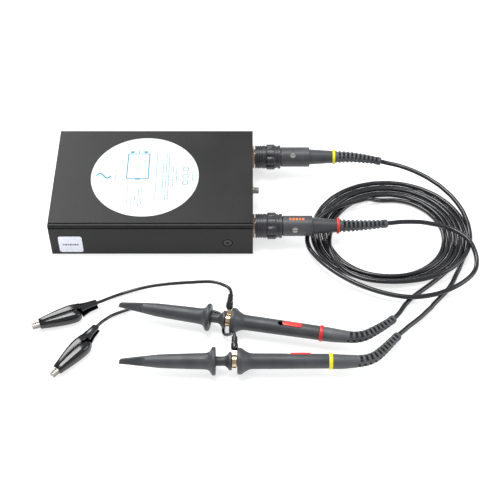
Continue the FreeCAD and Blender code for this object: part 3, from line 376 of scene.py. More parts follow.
def bump(tree, shader, heights):
    """Chained bumps from (value, depth in mm) pairs."""
    normal = None
    for value, depth in heights:
        node = tree.nodes.new("ShaderNodeBump")
        node.inputs["Distance"].default_value = depth * MM
        tree.links.new(value, node.inputs["Height"])
        if normal:
            tree.links.new(normal, node.inputs["Normal"])
        normal = node.outputs["Normal"]
    tree.links.new(normal, shader.inputs["Normal"])


def surface(name, colour, rough, vary=0.25, patch=90, grain=1800, depth=0.03, metal=0.0,
            coat=0.0, stretch=None, specular=0.5):
    """General finish: mottled colour, uneven roughness and a fine grain."""
    material, tree, shader, place = start_material(name)
    mottle = noise(tree, place, patch, 4)
    dark = [channel * (1 - vary) for channel in colour]
    light = [channel * (1 + vary) for channel in colour]
    tree.links.new(blend_colours(tree, spread(tree, mottle, 0, 1), dark, light),
                   shader.inputs["Base Color"])
    smear = noise(tree, place, patch * 3, 3, stretch)
    tree.links.new(spread(tree, smear, rough * 0.85, rough * 1.15), shader.inputs["Roughness"])
    bump(tree, shader, [(mottle, depth), (noise(tree, place, grain, 2, stretch), depth)])
    shader.inputs["Metallic"].default_value = metal
    shader.inputs["Coat Weight"].default_value = coat
    shader.inputs["Coat Roughness"].default_value = 0.08
    shader.inputs["Specular IOR Level"].default_value = specular
    return material


def powder_coat(name, colour=(0.014, 0.014, 0.0135), rough=0.42):
    """Fine-textured black powder coat on sheet steel, with paler and darker specks."""
    material, tree, shader, place = start_material(name)
    mottle = noise(tree, place, 35, 5)
    speck = noise(tree, place, 2600, 1, (0.3, 1, 1))
    base = blend_colours(tree, spread(tree, mottle, 0, 1), [0.85 * c for c in colour],
                         [1.15 * c for c in colour])
    mix = tree.nodes.new("ShaderNodeMix")
    mix.data_type = "RGBA"
    mix.blend_type = "MULTIPLY"
    mix.inputs["Factor"].default_value = 0.5
    tree.links.new(base, mix.inputs["A"])
    specks = blend_colours(tree, spread(tree, speck, 0, 1), (0.5, 0.5, 0.5), (1.5, 1.5, 1.5))
    tree.links.new(specks, mix.inputs["B"])
    tree.links.new(mix.outputs["Result"], shader.inputs["Base Color"])
    tree.links.new(spread(tree, mottle, rough * 0.92, rough * 1.08), shader.inputs["Roughness"])
    bump(tree, shader, [(noise(tree, place, 1500, 2), 0.05), (speck, 0.02)])
    shader.inputs["Specular IOR Level"].default_value = 0.24
    return material


def plastic(colour, rough=0.45, **more):
    """Maker of moulded plastic with a fine spark-eroded grain."""
    return lambda name: surface(name, colour, rough, **more)


def rubber(colour, rough=0.55, depth=0.04, **more):
    """Maker of soft rubber: duller, with a coarser grain."""
    return lambda name: surface(name, colour, rough, grain=1200, depth=depth, **more)


def metal(colour, rough=0.2, **more):
    """Maker of plated or bare metal with fine drawing marks."""
    return lambda name: surface(name, colour, rough, vary=0.12, metal=1.0, depth=0.006,
                                stretch=(6, 1, 1), **more)


def paper(name):
    """Coated white paper with a faint fibre and a slightly uneven tone."""
    return surface(name, (0.74, 0.76, 0.76), 0.32, vary=0.03, patch=60, grain=900, depth=0.01)


def seal_foil(name):
    """Silver foil seal whose tint shifts with the angle of view, over a fine diagonal grid."""
    material, tree, shader, place = start_material(name)
    facing = tree.nodes.new("ShaderNodeLayerWeight")
    facing.inputs["Blend"].default_value = 0.6
    tint = blend_colours(tree, facing.outputs["Facing"], (0.72, 0.8, 0.9), (0.86, 0.78, 0.84))
    lines = []
    for turn in (45, -45):
        mapping = tree.nodes.new("ShaderNodeMapping")
        mapping.inputs["Rotation"].default_value = (0, math.radians(turn), 0)
        wave = tree.nodes.new("ShaderNodeTexWave")
        wave.inputs["Scale"].default_value = 160
        tree.links.new(place, mapping.inputs["Vector"])
        tree.links.new(mapping.outputs["Vector"], wave.inputs["Vector"])
        lines.append(wave.outputs["Fac"])
    grid = tree.nodes.new("ShaderNodeMath")
    grid.operation = "MULTIPLY"
    tree.links.new(lines[0], grid.inputs[0])
    tree.links.new(lines[1], grid.inputs[1])
    mix = tree.nodes.new("ShaderNodeMix")
    mix.data_type = "RGBA"
    mix.inputs["B"].default_value = (0.5, 0.56, 0.66, 1)
    tree.links.new(spread(tree, grid.outputs["Value"], 0, 0.2), mix.inputs["Factor"])
    tree.links.new(tint, mix.inputs["A"])
    tree.links.new(mix.outputs["Result"], shader.inputs["Base Color"])
    tree.links.new(spread(tree, noise(tree, place, 300), 0.2, 0.4), shader.inputs["Roughness"])
    shader.inputs["Metallic"].default_value = 0.45
    bump(tree, shader, [(grid.outputs["Value"], 0.002)])
    return material


def circuit_green(name):
    """Green solder mask over copper tracks that show as a lighter grid."""
    material, tree, shader, place = start_material(name)
    bricks = tree.nodes.new("ShaderNodeTexBrick")
    bricks.inputs["Scale"].default_value = 180
    bricks.inputs["Mortar Size"].default_value = 0.08
    bricks.inputs["Color1"].default_value = (0.015, 0.12, 0.045, 1)
    bricks.inputs["Color2"].default_value = (0.02, 0.17, 0.06, 1)
    bricks.inputs["Mortar"].default_value = (0.04, 0.26, 0.09, 1)
    tree.links.new(place, bricks.inputs["Vector"])
    tree.links.new(bricks.outputs["Color"], shader.inputs["Base Color"])
    tree.links.new(spread(tree, noise(tree, place, 500), 0.18, 0.3), shader.inputs["Roughness"])
    bump(tree, shader, [(bricks.outputs["Fac"], 0.03)])
    return material


MAKERS = {
    "case_black": powder_coat,
    "chassis_black": powder_coat,
    "screw_black": plastic((0.02, 0.02, 0.02), 0.3),
    # Near-black and barely reflective: painted shade for the countersink gaps round the case
    # screws.
    "gap_shade_black": plastic((0.001, 0.001, 0.001), 0.6, specular=0.05),
    "label_white": paper,
    "label_ink": plastic((0.01, 0.24, 0.36), 0.5, vary=0.12, patch=600),
    "seal_silver": seal_foil,
    "seal_ink": plastic((0.05, 0.06, 0.09), 0.4, patch=600),
    "board_green": circuit_green,
    "component_black": plastic((0.03, 0.03, 0.032), 0.5),
    "screw_steel": metal((0.42, 0.41, 0.39), 0.3),
    # Nickel darkened to a dull copper-brown: the metal's own tone plus painted shade for the jack
    # strips seen between the panel and the collars.
    "jack_nickel": metal((0.3, 0.22, 0.17), 0.3),
    "insert_white": plastic((0.78, 0.77, 0.73), 0.4, vary=0.05),
    "contact_brass": metal((0.8, 0.6, 0.28)),
    "terminal_brass": metal((0.85, 0.68, 0.3), 0.25),
    "terminal_grey": plastic((0.3, 0.3, 0.31), 0.4),
    "usb_steel": metal((0.66, 0.66, 0.66), 0.25),
    "collar_black": plastic((0.03, 0.03, 0.034), 0.34, grain=2200),
    "housing_black": plastic((0.058, 0.058, 0.063), 0.42),
    "housing_ink": plastic((0.8, 0.2, 0.05), 0.4, patch=600),
    "handle_black": plastic((0.048, 0.052, 0.055), 0.44),
    "boot_black": rubber((0.08, 0.083, 0.088), 0.5),
    "cable_black": rubber((0.009, 0.009, 0.011), 0.22, 0.005, coat=0.3),
    "ring_yellow": plastic((0.85, 0.8, 0.01), 0.35, vary=0.08, patch=300),
    "ring_red": plastic((0.75, 0.03, 0.035), 0.35, vary=0.1, patch=300),
    "switch_red": plastic((0.8, 0.045, 0.04), 0.35, vary=0.1, patch=300),
    "clip_brass": metal((0.62, 0.46, 0.3), 0.2),
    "clip_steel": metal((0.36, 0.34, 0.32), 0.26),
    "clip_cover_black": rubber((0.004, 0.004, 0.005), 0.14, 0.01, coat=0.2),
    "spring_steel": metal((0.6, 0.6, 0.6), 0.3),
}

# Slot of each CAD node that stays in view.
NODE_SLOTS = {
    "upper_cover": "case_black", "lower_chassis": "chassis_black", "case_screws": "screw_black",
    "round_label": "label_white", "seal_sticker": "seal_silver", "circuit_board": "board_green",
    "board_components": "component_black", "board_screws": "screw_steel",
    "bnc_jack_shells": "jack_nickel", "bnc_jack_nuts": "jack_nickel",
    "bnc_jack_inserts": "insert_white", "bnc_jack_contacts": "contact_brass",
    "calibration_bead": "terminal_brass", "calibration_post": "terminal_grey",
    "usb_socket": "usb_steel", "hook_stems": "spring_steel", "clip_pins": "clip_steel",
    "clip_springs": "spring_steel",
}
PROBE_NODE_SLOTS = {
    "plug_shell": "jack_nickel", "plug_insulator": "insert_white", "plug_contact": "contact_brass",
    "plug_housing": "housing_black",
    "trimmer_screw": "screw_steel", "ground_clip": "clip_brass",
}


def dress_cad_nodes():
    """Procedural materials on the CAD nodes that stay in view."""
    slots = dict(NODE_SLOTS)
    for number in CHANNELS:
        for part, slot in PROBE_NODE_SLOTS.items():
            slots[f"probe_{number}_{part}"] = slot
    for node, slot in slots.items():
        materials = frame["nodes"][node].data.materials
        materials.clear()
        materials.append(look(slot))


# ---------------------------------------------------------------- prints on the case, and painted shade round its screws

# Thickness of the print, and of the painted shade rings round the case screws.
FILM_THICK = 0.03
# Columns of small print on the label: place along X, and start and end along Y.
LABEL_COLUMNS = ((-17.7, -5.1, 6.1), (-9.8, -25.2, -6.7), (-7.2, -24.6, -17),
                 (-5.2, -24.6, -15.5), (-3.1, -24.6, -7.8), (-1.4, -23, -8.9),
                 (10.9, -13.3, 13.4), (12.7, -19.3, 19.2), (14.3, -19.3, 19.8),
                 (16.9, -8.4, 9.5), (19, -5.1, 6.1), (28.9, -4, 4.4), (-4.8, 5, 10.6))


def bar(x, y, length, width, top):
    """Printed bar, length along X and width along Y, centred on a point."""
    outline = [(x - length / 2, y - width / 2), (x + length / 2, y - width / 2),
               (x + length / 2, y + width / 2), (x - length / 2, y + width / 2)]
    return prism(outline, top, top + FILM_THICK)


def dashes(x, low, high, width, top, dice):
    """Column of word-long dashes along Y, standing for a line of small print."""
    marks = []
    at = low
    while at < high:
        word = min(dice.uniform(0.9, 3.2), high - at)
        marks.append(bar(x, at + word / 2, width, word, top))
        at += word + 0.55
    return marks


def hoop(x, y, radius, width, top, sides=32):
    """Flat ring: print on the label, and painted shade round the case screws."""
    turns = [math.tau * k / sides for k in range(sides)]
    rings = [[(x + reach * math.cos(turn), y + reach * math.sin(turn), height) for turn in turns]
             for reach, height in ((radius, top), (radius, top + FILM_THICK),
                                   (radius - width, top + FILM_THICK), (radius - width, top))]
    return loft(rings, closed=True)


def stroke(points, width, top):
    """Printed line of even width through points."""
    left, right = [], []
    for point, side, _ in carried([Vector((*point, 0)) for point in points], Vector((0, 1, 0))):
        left.append((point + side * width / 2).xy)
        right.append((point - side * width / 2).xy)
    return prism(left + right[::-1], top, top + FILM_THICK)


def wrapped_bar(start, length, radius, low, high, steps=6):
    """Printed bar wrapped round the X axis between two rolls."""
    rings = []
    for k in range(steps + 1):
        roll = low + (high - low) * k / steps
        rings.append([round_x(roll, x, reach) for x, reach in (
            (start, radius), (start + length, radius), (start + length, radius + FILM_THICK),
            (start, radius + FILM_THICK))])
    return loft(rings)


def build_label_print():
    """Cyan print: a trace, a plain outline of the box, columns of dashes and three rings."""
    low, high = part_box("round_label")
    middle = (low + high) / 2
    top = high.z / MM
    dice = random.Random(7)
    period, height, steps = 9, 1.9, 36
    trace = [(-29.4 + period * k / steps, 0.4 + height * math.sin(math.tau * k / steps))
             for k in range(steps + 1)]
    marks = [stroke(trace, 1.1, top)]
    for x, start, end in LABEL_COLUMNS:
        marks += dashes(x, start, end, 0.42, top, dice)
    marks.append(bar(6.8, 0.25, 0.3, 39, top))
    wide, deep, line = 13, 20.7, 0.7
    x, y = -4.5, 8.45
    sockets = y + deep / 2 + 1.6
    for hand in (-1, 1):
        marks.append(bar(x + hand * wide / 2, y, line, deep + line, top))
        marks.append(bar(x, y + hand * deep / 2, wide - line, line, top))
        marks.append(bar(x + hand * 4.1, sockets, 2.2, 1.6, top))
    marks.append(bar(x, sockets, 0.6, 1.8, top))
    marks.append(bar(x, y - deep / 2 - 0.7, 3, 0.6, top))
    for y in (6.1, 0, -5.4):
        marks.append(hoop(24.5, y, 1.9, 0.45, top))
    place = Matrix.Translation((middle.x, middle.y, 0))
    piece("label_print", join(marks), "instrument", "label_white", place, finish="label_ink")


def build_painted_gap_shades():
    """Painted shade: near-black rings round the case screws that the seal leaves in view, standing
    for the shadow in the gap of each countersink.
    """
    low, high = (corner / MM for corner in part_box("case_screws"))
    height = (low.z + high.z) / 2
    reach = (high.z - low.z) / 2
    right, left = high.x - reach, low.x + reach
    for k, (x, y, roll) in enumerate(((right, low.y, 90), (right, high.y, -90),
                                      (left, high.y, -90))):
        spot = Matrix.Translation(Vector((x, y, height)) * MM)
        upright = Matrix.Rotation(math.radians(roll), 4, "X")
        piece(f"countersink_shade_{k + 1}", hoop(0, 0, reach + 0.35, 0.6, 0), "instrument",
              "screw_black", spot @ upright, finish="gap_shade_black")


def build_seal_print():
    """Dark print on the seal: one broken line, level with the seal's middle."""
    low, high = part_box("seal_sticker")
    place = Matrix.Translation(((low.x + high.x) / 2, low.y, (low.z + high.z) / 2))
    upright = Matrix.Rotation(math.radians(90), 4, "X")
    marks = [bar(-4.2 + 1.4 * k, -0.3, 1.0, 1.3 if k % 2 else 1.0, 0) for k in range(7)]
    piece("seal_print", join(marks), "instrument", "seal_silver", place @ upright,
          finish="seal_ink")


# ---------------------------------------------------------------- plugs

HOUSING_END, HOUSING_RADIUS, _ = probe_box("plug_housing", plug_frame(1))[1]
FIT = 0.05              # play between parts that are pushed together
RING_THICK = 1.8
PLUG_BOOT_LENGTH = 28.8
PLUG_ROOT = 43.7        # where the cable starts inside the plug
LOBES = 8
RING_SLOTS = {1: "ring_yellow", 2: "ring_red"}


def collar_shape(sides=96):
    """Bayonet collar: ridged front, lobed grip and a stepped rear; lobes are True stations."""
    outline = [(1.6, 6.9, False), (1.8, 7.25, False)]
    for k in range(3):
        x = 2.5 + 1.5 * k
        outline += [(x, 7.25, False), (x + 0.15, 6.85, False), (x + 0.5, 6.85, False),
                    (x + 0.65, 7.25, False)]
    outline += [(7.9, 7.25, False), (8.1, 7.0, False), (8.6, 7.0, False), (8.75, 7.7, True),
                (9.2, 8.05, True), (13.4, 8.05, True), (13.85, 7.7, True), (14, 7.1, False),
                (15, 7.1, False), (15.15, 6.7, False), (15.7, 6.7, False), (15.85, 7.3, False),
                (17.3, 7.3, False), (17.5, 7.1, False), (17.5, 4.45, False),
                (13.9, 4.45, False), (13.9, 5.75, False), (11.9, 5.75, False),
                (11.9, 5.6, False), (1.9, 5.6, False), (1.6, 5.85, False)]
    rings = []
    for x, radius, lobed in outline:
        ring = []
        for k in range(sides):
            turn = math.tau * k / sides
            scallop = 0.85 * max(0, math.cos(LOBES * turn)) ** 2 if lobed else 0
            ring.append(round_x(math.degrees(turn), x, radius - scallop))
        rings.append(ring)
    return loft(rings, closed=True)


def marker_ring(name, start, width, radius, bore, body, slot, place, node):
    """Snap-on colour ring with a rounded rim."""
    outline = soften([(start, bore, 0), (start, radius, 0.5), (start + width, radius, 0.5),
                      (start + width, bore, 0)])
    piece(name, lathe(outline), body, slot, place, (node,))


BOOT_CAP = 2.6          # plain collar at the cable's end of a strain relief
WINDOW_SLOPE = 0.1      # length of a window's end wall
WINDOW_START = 0.12     # first window's start, in pitches
WINDOW_OPEN = 0.54      # length of a window, in pitches
WINDOW_HALF = 37        # half of a window's turn, in degrees
WINDOW_EDGE = 4         # turn over which a window's side walls slope, in degrees
LINER = 0.12            # rubber left between a window and the bore


def window_open(at, row, pitch, windows):
    """Whether a place, measured from the first window, is inside one of a row's windows."""
    count = at / pitch - WINDOW_START - 0.5 * row
    offset = (count - math.floor(count)) * pitch
    margin = WINDOW_SLOPE / 2
    return 0 <= count < windows and margin < offset < WINDOW_OPEN * pitch - margin


def windowed_boot(name, line, first, last, wide, narrow, windows, roll, body, nodes, lead):
    """Strain relief along a cable's line, with four staggered rows of dark windows.

    lead is an outline of (distance, radius) for what comes before the windows."""
    bore = CABLE_RADIUS + 0.08
    pitch = (last - first - BOOT_CAP) / windows
    half, edge = WINDOW_HALF, WINDOW_EDGE
    angles = [row * 90 + bend for row in range(4)
              for bend in (-half, edge - half, -half / 2, 0, half / 2, half - edge, half)]
    places = []
    for i in range(2 * windows):
        begin = first + (WINDOW_START + i / 2) * pitch
        end = begin + WINDOW_OPEN * pitch
        places += [begin, begin + WINDOW_SLOPE, end - WINDOW_SLOPE, end]
    stops = lead + [(at, None) for at in sorted(places)]
    stops += [(last - BOOT_CAP + 0.5, None), (last - BOOT_CAP + 0.6, narrow * 1.12),
              (last - 0.3, narrow * 1.05), (last, narrow)]
    rings, sunk = [], set()
    path = carried(along(line, [at for at, _ in stops]), Vector((0, 0.2, 1)))
    for (at, radius), (point, side, up) in zip(stops, path):
        outer = radius or wide + (narrow - wide) * (at - first) / (last - first)
        for angle in angles:
            row = round(angle / 90)
            inside = abs(angle - 90 * row) < half - edge / 2 and radius is None
            deep = inside and window_open(at - first, row % 2, pitch, windows)
            if deep:
                sunk.add(len(rings))
            reach = bore + LINER if deep else outer
            rings.append(point + turned(side, up, angle + roll) * reach)
    back = carried(along(line, np.linspace(stops[-1][0], stops[0][0], 16)), Vector((0, 0.2, 1)))
    for point, side, up in back:
        rings += [point + turned(side, up, angle + roll) * bore for angle in angles]
    count = len(angles)
    shape = loft([rings[i:i + count] for i in range(0, len(rings), count)], closed=True)
    boot = piece(name, shape, body, "boot_black", Matrix(), nodes)
    boot.data.materials.append(look("cable_black"))
    for face in boot.data.polygons:
        if all(index in sunk for index in face.vertices):
            face.material_index = 1


def turned(side, up, angle):
    """Unit direction across a path, at an angle from the underside."""
    turn = math.radians(angle)
    return side * math.sin(turn) - up * math.cos(turn)


def build_plug(number, line):
    """Looks of one plug: ring, collar and strain relief, and on probe 2 a row of bars."""
    mark, body, place = f"probe_{number}", f"plug_{number}", plug_frame(number)
    marker_ring(f"{mark}_plug_ring_look", HOUSING_END + FIT, RING_THICK - 2 * FIT, 4.75, 3.55,
                body, RING_SLOTS[number], place, f"{mark}_plug_marker_ring")
    piece(f"{mark}_collar_look", collar_shape(), f"collar_{number}", "collar_black", place,
          [f"{mark}_bayonet_collar"])
    if number == 2:
        skin = HOUSING_RADIUS + 0.01
        bars = join([wrapped_bar(21.8 + 1.9 * k, 1.2, skin, 82, 98) for k in range(5)])
        piece(f"{mark}_housing_print", bars, body, "housing_black", place, finish="housing_ink")
    begin = HOUSING_END + RING_THICK - PLUG_ROOT
    spigot = [(begin - 6.8, 3.45), (begin - 0.02, 3.45), (begin + 0.02, 3.85), (begin + 0.6, 3.9)]
    windowed_boot(f"{mark}_plug_boot_look", line, begin + 0.6, begin + PLUG_BOOT_LENGTH, 3.9,
                  2.35, 10, VIEW_ROLL, body, [f"{mark}_plug_boot"], spigot)


# ---------------------------------------------------------------- handles

RING_END = probe_box("handle_marker_ring", handle_frame(1))[1].x
RING_WIDTH = 2.1
HANDLE_TIP = RING_END + FIT     # where the strain relief starts
CABLE_ROOT = 57.2       # where the cable starts inside the grip
SLEEVE_TIP = probe_box("hook_sleeve", handle_frame(1))[0].x
NOSE_STEP = -36.5       # where the round sleeve gives way to the flattened nose
NOSE_LEAN = 2.6         # how far the edge of the flats leans towards the tip
NOSE_SHOULDER = 1.4     # length over which the flats fade into the round
SLEEVE_SIDES = 56


def sleeve_outline():
    """Outside of the hook sleeve from its flange to its tip: (x, radius)."""
    flange = [(1.25, 4.2), (1.15, 6.6), (1.25, 7.2), (1.0, 7.7), (0.5, 7.85), (-0.3, 7.85),
              (-0.8, 7.6), (-1.1, 7.1), (-1.6, 6.2), (-2.2, 5.4)]
    body = [(-3, 4.9), (-4.2, 4.6), (-6, 4.5), (-14, 4.3), (-24, 4.0)]
    taper = [(-30 - 0.5 * k, 3.74 - 0.052 * k) for k in range(29)]
    return flange + body + taper + [(-46, 2.02), (-49, 1.78), (SLEEVE_TIP, 1.5)]


def nose_flat(x, share):
    """Half thickness of the flats and how far they have faded out, 0 to 1, at a height share."""
    edge = NOSE_STEP - NOSE_LEAN * (1 - share ** 2)
    return 1.1 + 0.05 * (x - SLEEVE_TIP), min(max((x - edge) / NOSE_SHOULDER, 0), 1)


def hook_sleeve_shape():
    """Spring-loaded sleeve: finger flange, tapered body and a flattened, slanted nose."""
    across = round_x(VIEW_ROLL)
    upward = round_x(VIEW_ROLL + 90)
    turns = [math.tau * k / SLEEVE_SIDES for k in range(SLEEVE_SIDES)]
    rings = []
    for x, radius in sleeve_outline():
        ring = []
        for turn in turns:
            rise, face = radius * math.sin(turn), radius * math.cos(turn)
            flat, free = nose_flat(x, rise / radius)
            if x < NOSE_STEP + NOSE_SHOULDER:
                limit = flat + (radius - flat) * free * free * (3 - 2 * free)
                face = max(-limit, min(limit, face))
            slant = (rise / radius + 1) * 0.7 * max(0, (-46 - x) / 6)
            ring.append(Vector((x + slant, 0, 0)) + upward * rise + across * face)
        rings.append(ring)
    bore = [(-51.6, 0.7), (-40, 0.95), (-33.2, 0.95), (-33, 3.0), (-8, 3.0), (-7.9, 2.8),
            (-1.6, 2.8), (-1.5, 4.2)]
    for x, radius in bore:
        rings.append([Vector((x, 0, 0)) + upward * (radius * math.sin(turn))
                      + across * (radius * math.cos(turn)) for turn in turns])
    return loft(rings, closed=True)


def build_barrels():
    """Barrel ends of both probes: neck, stop disc and the seat of the ground clip."""
    outline = soften([(-10, 0.65, 0), (-10, 2.65, 0.3), (6.4, 2.65, 1.2), (8, 4.1, 0.5),
                      (8.5, 5.0, 0.4), (10, 5.1, 0.4), (10.2, 3, 0.3), (13, 3, 0), (13, 2.38, 0),
                      (24, 2.38, 0), (24, 0.65, 0)])
    for number in CHANNELS:
        piece(f"probe_{number}_barrel_look", lathe(outline), "instrument", "handle_black",
              handle_frame(number), ["probe_barrels"] if number == 1 else ())


def build_spring(number):
    """Hook spring inside the sleeve, drawn at one length on the instrument; the real spring
    shortens as the sleeve slides back.
    """
    place = handle_frame(number)
    start, end, wire, reach = -32, -10, 0.3, 1.9
    turns, steps = 9, 24
    length = end - start - 2 * wire
    path = [round_x(360 * k / steps, start + wire + length * k / (turns * steps), reach)
            for k in range(turns * steps + 1)]
    spring = piece(f"probe_{number}_spring_look", tube(path, wire, 8), "instrument",
                   "spring_steel", place, [f"probe_{number}_hook_spring"])
    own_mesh(spring)


def build_handle(number, line):
    """Looks of one handle: sleeve, guard and grip, switch, ring and strain relief."""
    mark, place = f"probe_{number}", handle_frame(number)
    piece(f"{mark}_sleeve_look", hook_sleeve_shape(), f"sleeve_{number}", "handle_black", place,
          [f"{mark}_hook_sleeve"])
    grip_end = RING_END - RING_WIDTH - FIT
    grip = soften([(13.05, 2.46, 0), (13.05, 7.35, 0.8), (15.4, 7.35, 0.9), (17.6, 5.6, 1.6),
                   (20.2, 4.35, 2), (40, 4.25, 4), (grip_end, 4.05, 0.25), (grip_end, 3.05, 0),
                   (24.05, 3.05, 0), (24.05, 2.46, 0)])
    handle = piece(f"{mark}_handle_look", lathe(grip, 64), None, "handle_black", place)
    switch_place = place @ Matrix.Rotation(math.radians(90 - switch_roll(number)), 4, "X")
    cut_window(handle, switch_place)
    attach(handle, "instrument")
    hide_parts(f"{mark}_handle")
    build_switch(number, switch_place)
    marker_ring(f"{mark}_handle_ring_look", RING_END - RING_WIDTH, RING_WIDTH, 4.6, 3.05,
                "instrument", RING_SLOTS[number], place, f"{mark}_handle_marker_ring")
    back = line[::-1]
    begin = HANDLE_TIP - CABLE_ROOT
    spigot = [(begin - 7.5, 2.95), (begin - 0.02, 2.95), (begin + 0.02, 4.05), (begin + 0.3, 4.15),
              (begin + 6, 3.95), (begin + 12.6, 3.5)]
    windowed_boot(f"{mark}_handle_boot_look", back, begin + 13, begin + 46.6, 3.45, 2.3, 11,
                  25, "instrument", ["handle_boots"] if number == 1 else (), spigot)


def switch_roll(number):
    """Roll of the handle's switch, from the place of its CAD slider."""
    low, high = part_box(f"probe_{number}_range_switch")
    local = handle_frame(number).inverted() @ ((low + high) / 2)
    return math.degrees(math.atan2(local.z, -local.y))


def stadium(start, end, half, steps=10):
    """Long outline with round ends."""
    outline = []
    for x, first in ((end - half, -90), (start + half, 90)):
        for k in range(steps + 1):
            turn = math.radians(first + 180 * k / steps)
            outline.append((x + half * math.cos(turn), half * math.sin(turn)))
    return outline


def cut_window(handle, place):
    """Cut the switch's window into the grip."""
    cutter = piece("window_cutter", prism(stadium(39.6, 53.4, 1.5), 2.3, 8), None,
                   "handle_black", place)
    trim = handle.modifiers.new("window", "BOOLEAN")
    trim.operation = "DIFFERENCE"
    trim.solver = "EXACT"
    trim.object = cutter
    seen = handle.evaluated_get(bpy.context.evaluated_depsgraph_get())
    mesh = bpy.data.meshes.new_from_object(seen)
    handle.modifiers.clear()
    handle.data = mesh
    bpy.data.objects.remove(cutter)
    mesh.set_sharp_from_angle(angle=math.radians(35))


def build_switch(number, place):
    """Red attenuation slider with a ribbed top."""
    start, end, half = 42.15, 53.3, 1.38
    rings = [[(x, y, z) for x, y in stadium(start + inset, end - inset, half - inset)]
             for z, inset in ((3.3, 0), (4.3, 0), (4.52, 0.1), (4.62, 0.34))]
    shapes = [loft(rings)]
    for k in range(5):
        x = (start + end) / 2 + (k - 2) * 0.9
        shapes.append(prism([(x - 0.2, -0.9), (x + 0.2, -0.9), (x + 0.2, 0.9), (x - 0.2, 0.9)],
                            4.58, 4.78))
    piece(f"probe_{number}_switch_look", join(shapes), f"switch_{number}", "switch_red", place,
          [f"probe_{number}_range_switch"])


# ---------------------------------------------------------------- cables and ground leads

LEAD_HEADINGS = {1: Vector((1, -1, 0)).normalized(), 2: Vector((1, 0, 0))}


def build_cable(number, line):
    """Cable in two pieces: the run from the plug, put on no body, and the rest, on the instrument.
    """
    mark = f"probe_{number}"
    total = stations(line)[-1]
    boot_end = HOUSING_END + RING_THICK + PLUG_BOOT_LENGTH - PLUG_ROOT
    heading = LEAD_HEADINGS[number]
    points = part_of(line, 0, total)
    first = round(boot_end / total * (len(points) - 1))
    last = first
    while points[last + 1].dot(heading) > points[last].dot(heading):
        last += 1
    lead = piece(f"{mark}_cable_lead_look", tube(points[:last + 1], CABLE_RADIUS), None,
                 "cable_black")
    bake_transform(lead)
    piece(f"{mark}_cable_look", tube(points[last:], CABLE_RADIUS), "instrument", "cable_black",
          stands_for=[f"{mark}_cable"])


def lead_frame(number):
    """Frame of the ground clip's tab: X points out of the handle, along the lead boot."""
    low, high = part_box(f"probe_{number}_ground_lead_boot")
    place = handle_frame(number)
    local = place.inverted() @ ((low + high) / 2)
    out = (place.to_3x3() @ Vector((0, local.y, local.z))).normalized()
    ahead = place.to_3x3() @ Vector((1, 0, 0))
    turned = Matrix((out, ahead.cross(out) * -1, ahead)).transposed().to_4x4()
    turned.translation = place @ Vector((local.x, 0, 0))
    return turned


def build_ground_lead(number):
    """Moulded boot on the ground clip and the thin wire to the crocodile clip."""
    mark, body = f"probe_{number}", f"ground_{number}"
    place = lead_frame(number)
    ribs = []
    for k in range(3):
        x = 11.9 + 1.05 * k
        ribs += [(x, 1.75 - 0.08 * k, 0.1), (x + 0.55, 1.75 - 0.08 * k, 0.1),
                 (x + 0.6, 1.35, 0.05), (x + 1.0, 1.35, 0.05)]
    outline = soften([(6.2, 0.3, 0), (6.2, 1.25, 0.3), (7.6, 2.1, 0.8), (10.4, 2.0, 1),
                      (11.5, 1.45, 0.3)] + ribs + [(15, 1.3, 0.2), (15, 0.3, 0)], 3)
    piece(f"{mark}_lead_boot_look", lathe(outline, 32), body, "cable_black", place,
          [f"{mark}_ground_lead_boot"])
    root = place @ Vector((15 * MM, 0, 0))
    line = centre_line(f"{mark}_ground_wire", WIRE_RADIUS, root)
    points = part_of(line, 0, stations(line)[-1], 0.9)
    points.insert(0, points[0] * 2 - points[1])
    wire = piece(f"{mark}_ground_wire_look", tube(points, WIRE_RADIUS, 16), None, "cable_black",
                 stands_for=[f"{mark}_ground_wire"])
    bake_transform(wire)


# ---------------------------------------------------------------- crocodile clips

# Stations of the clip's rubber cover: place, lip, reach and half height of its section.
COVER_NOSE = ((-3.5, 0.3, 5.45, 3.75), (0, 0.3, 5.4, 3.8), (4, 0.3, 4.9, 3.7), (8, 0.3, 4.3, 3.4),
              (12, 0.3, 3.55, 3.0), (16, 0.3, 2.9, 2.5), (16.5, 0.3, 2.7, 2.3))
COVER_TAILS = {
    -1: ((-18, -0.1, 4.3, 1.9), (-17.5, -0.2, 4.45, 2.1), (-13, -0.7, 4.6, 2.35),
         (-10, -1.6, 4.75, 2.8), (-8.3, -2.2, 4.95, 3.15), (-7.8, 0.3, 5.05, 3.25)),
    1: ((-7.4, 2.0, 3.6, 1.8), (-7.1, 1.9, 4.3, 2.6), (-5.2, 1.5, 5.15, 3.5)),
}
COVER_WALL = 0.7


def cover_shape(hand):
    """Half of the rubber cover, open towards the other half; the fixed half has the neck."""
    turns = [math.radians(-90 + 180 * k / 14) for k in range(15)]

    def arc(lip, reach, half):
        return [(lip + (reach - lip) * math.cos(turn) ** 0.65,
                 math.copysign(half * abs(math.sin(turn)) ** 0.65, turn)) for turn in turns]

    rings = []
    tail = COVER_TAILS[hand]
    nose = COVER_NOSE if hand < 0 else ((-3.5, 1.1, 5.45, 3.75),) + COVER_NOSE[1:]
    for x, lip, reach, half in tail + nose:
        inner = arc(lip, max(reach - COVER_WALL, lip + 0.3), half - COVER_WALL)
        section = arc(lip, reach, half) + inner[::-1]
        rings.append([(x, hand * y, z) for y, z in section])
    return loft(rings)


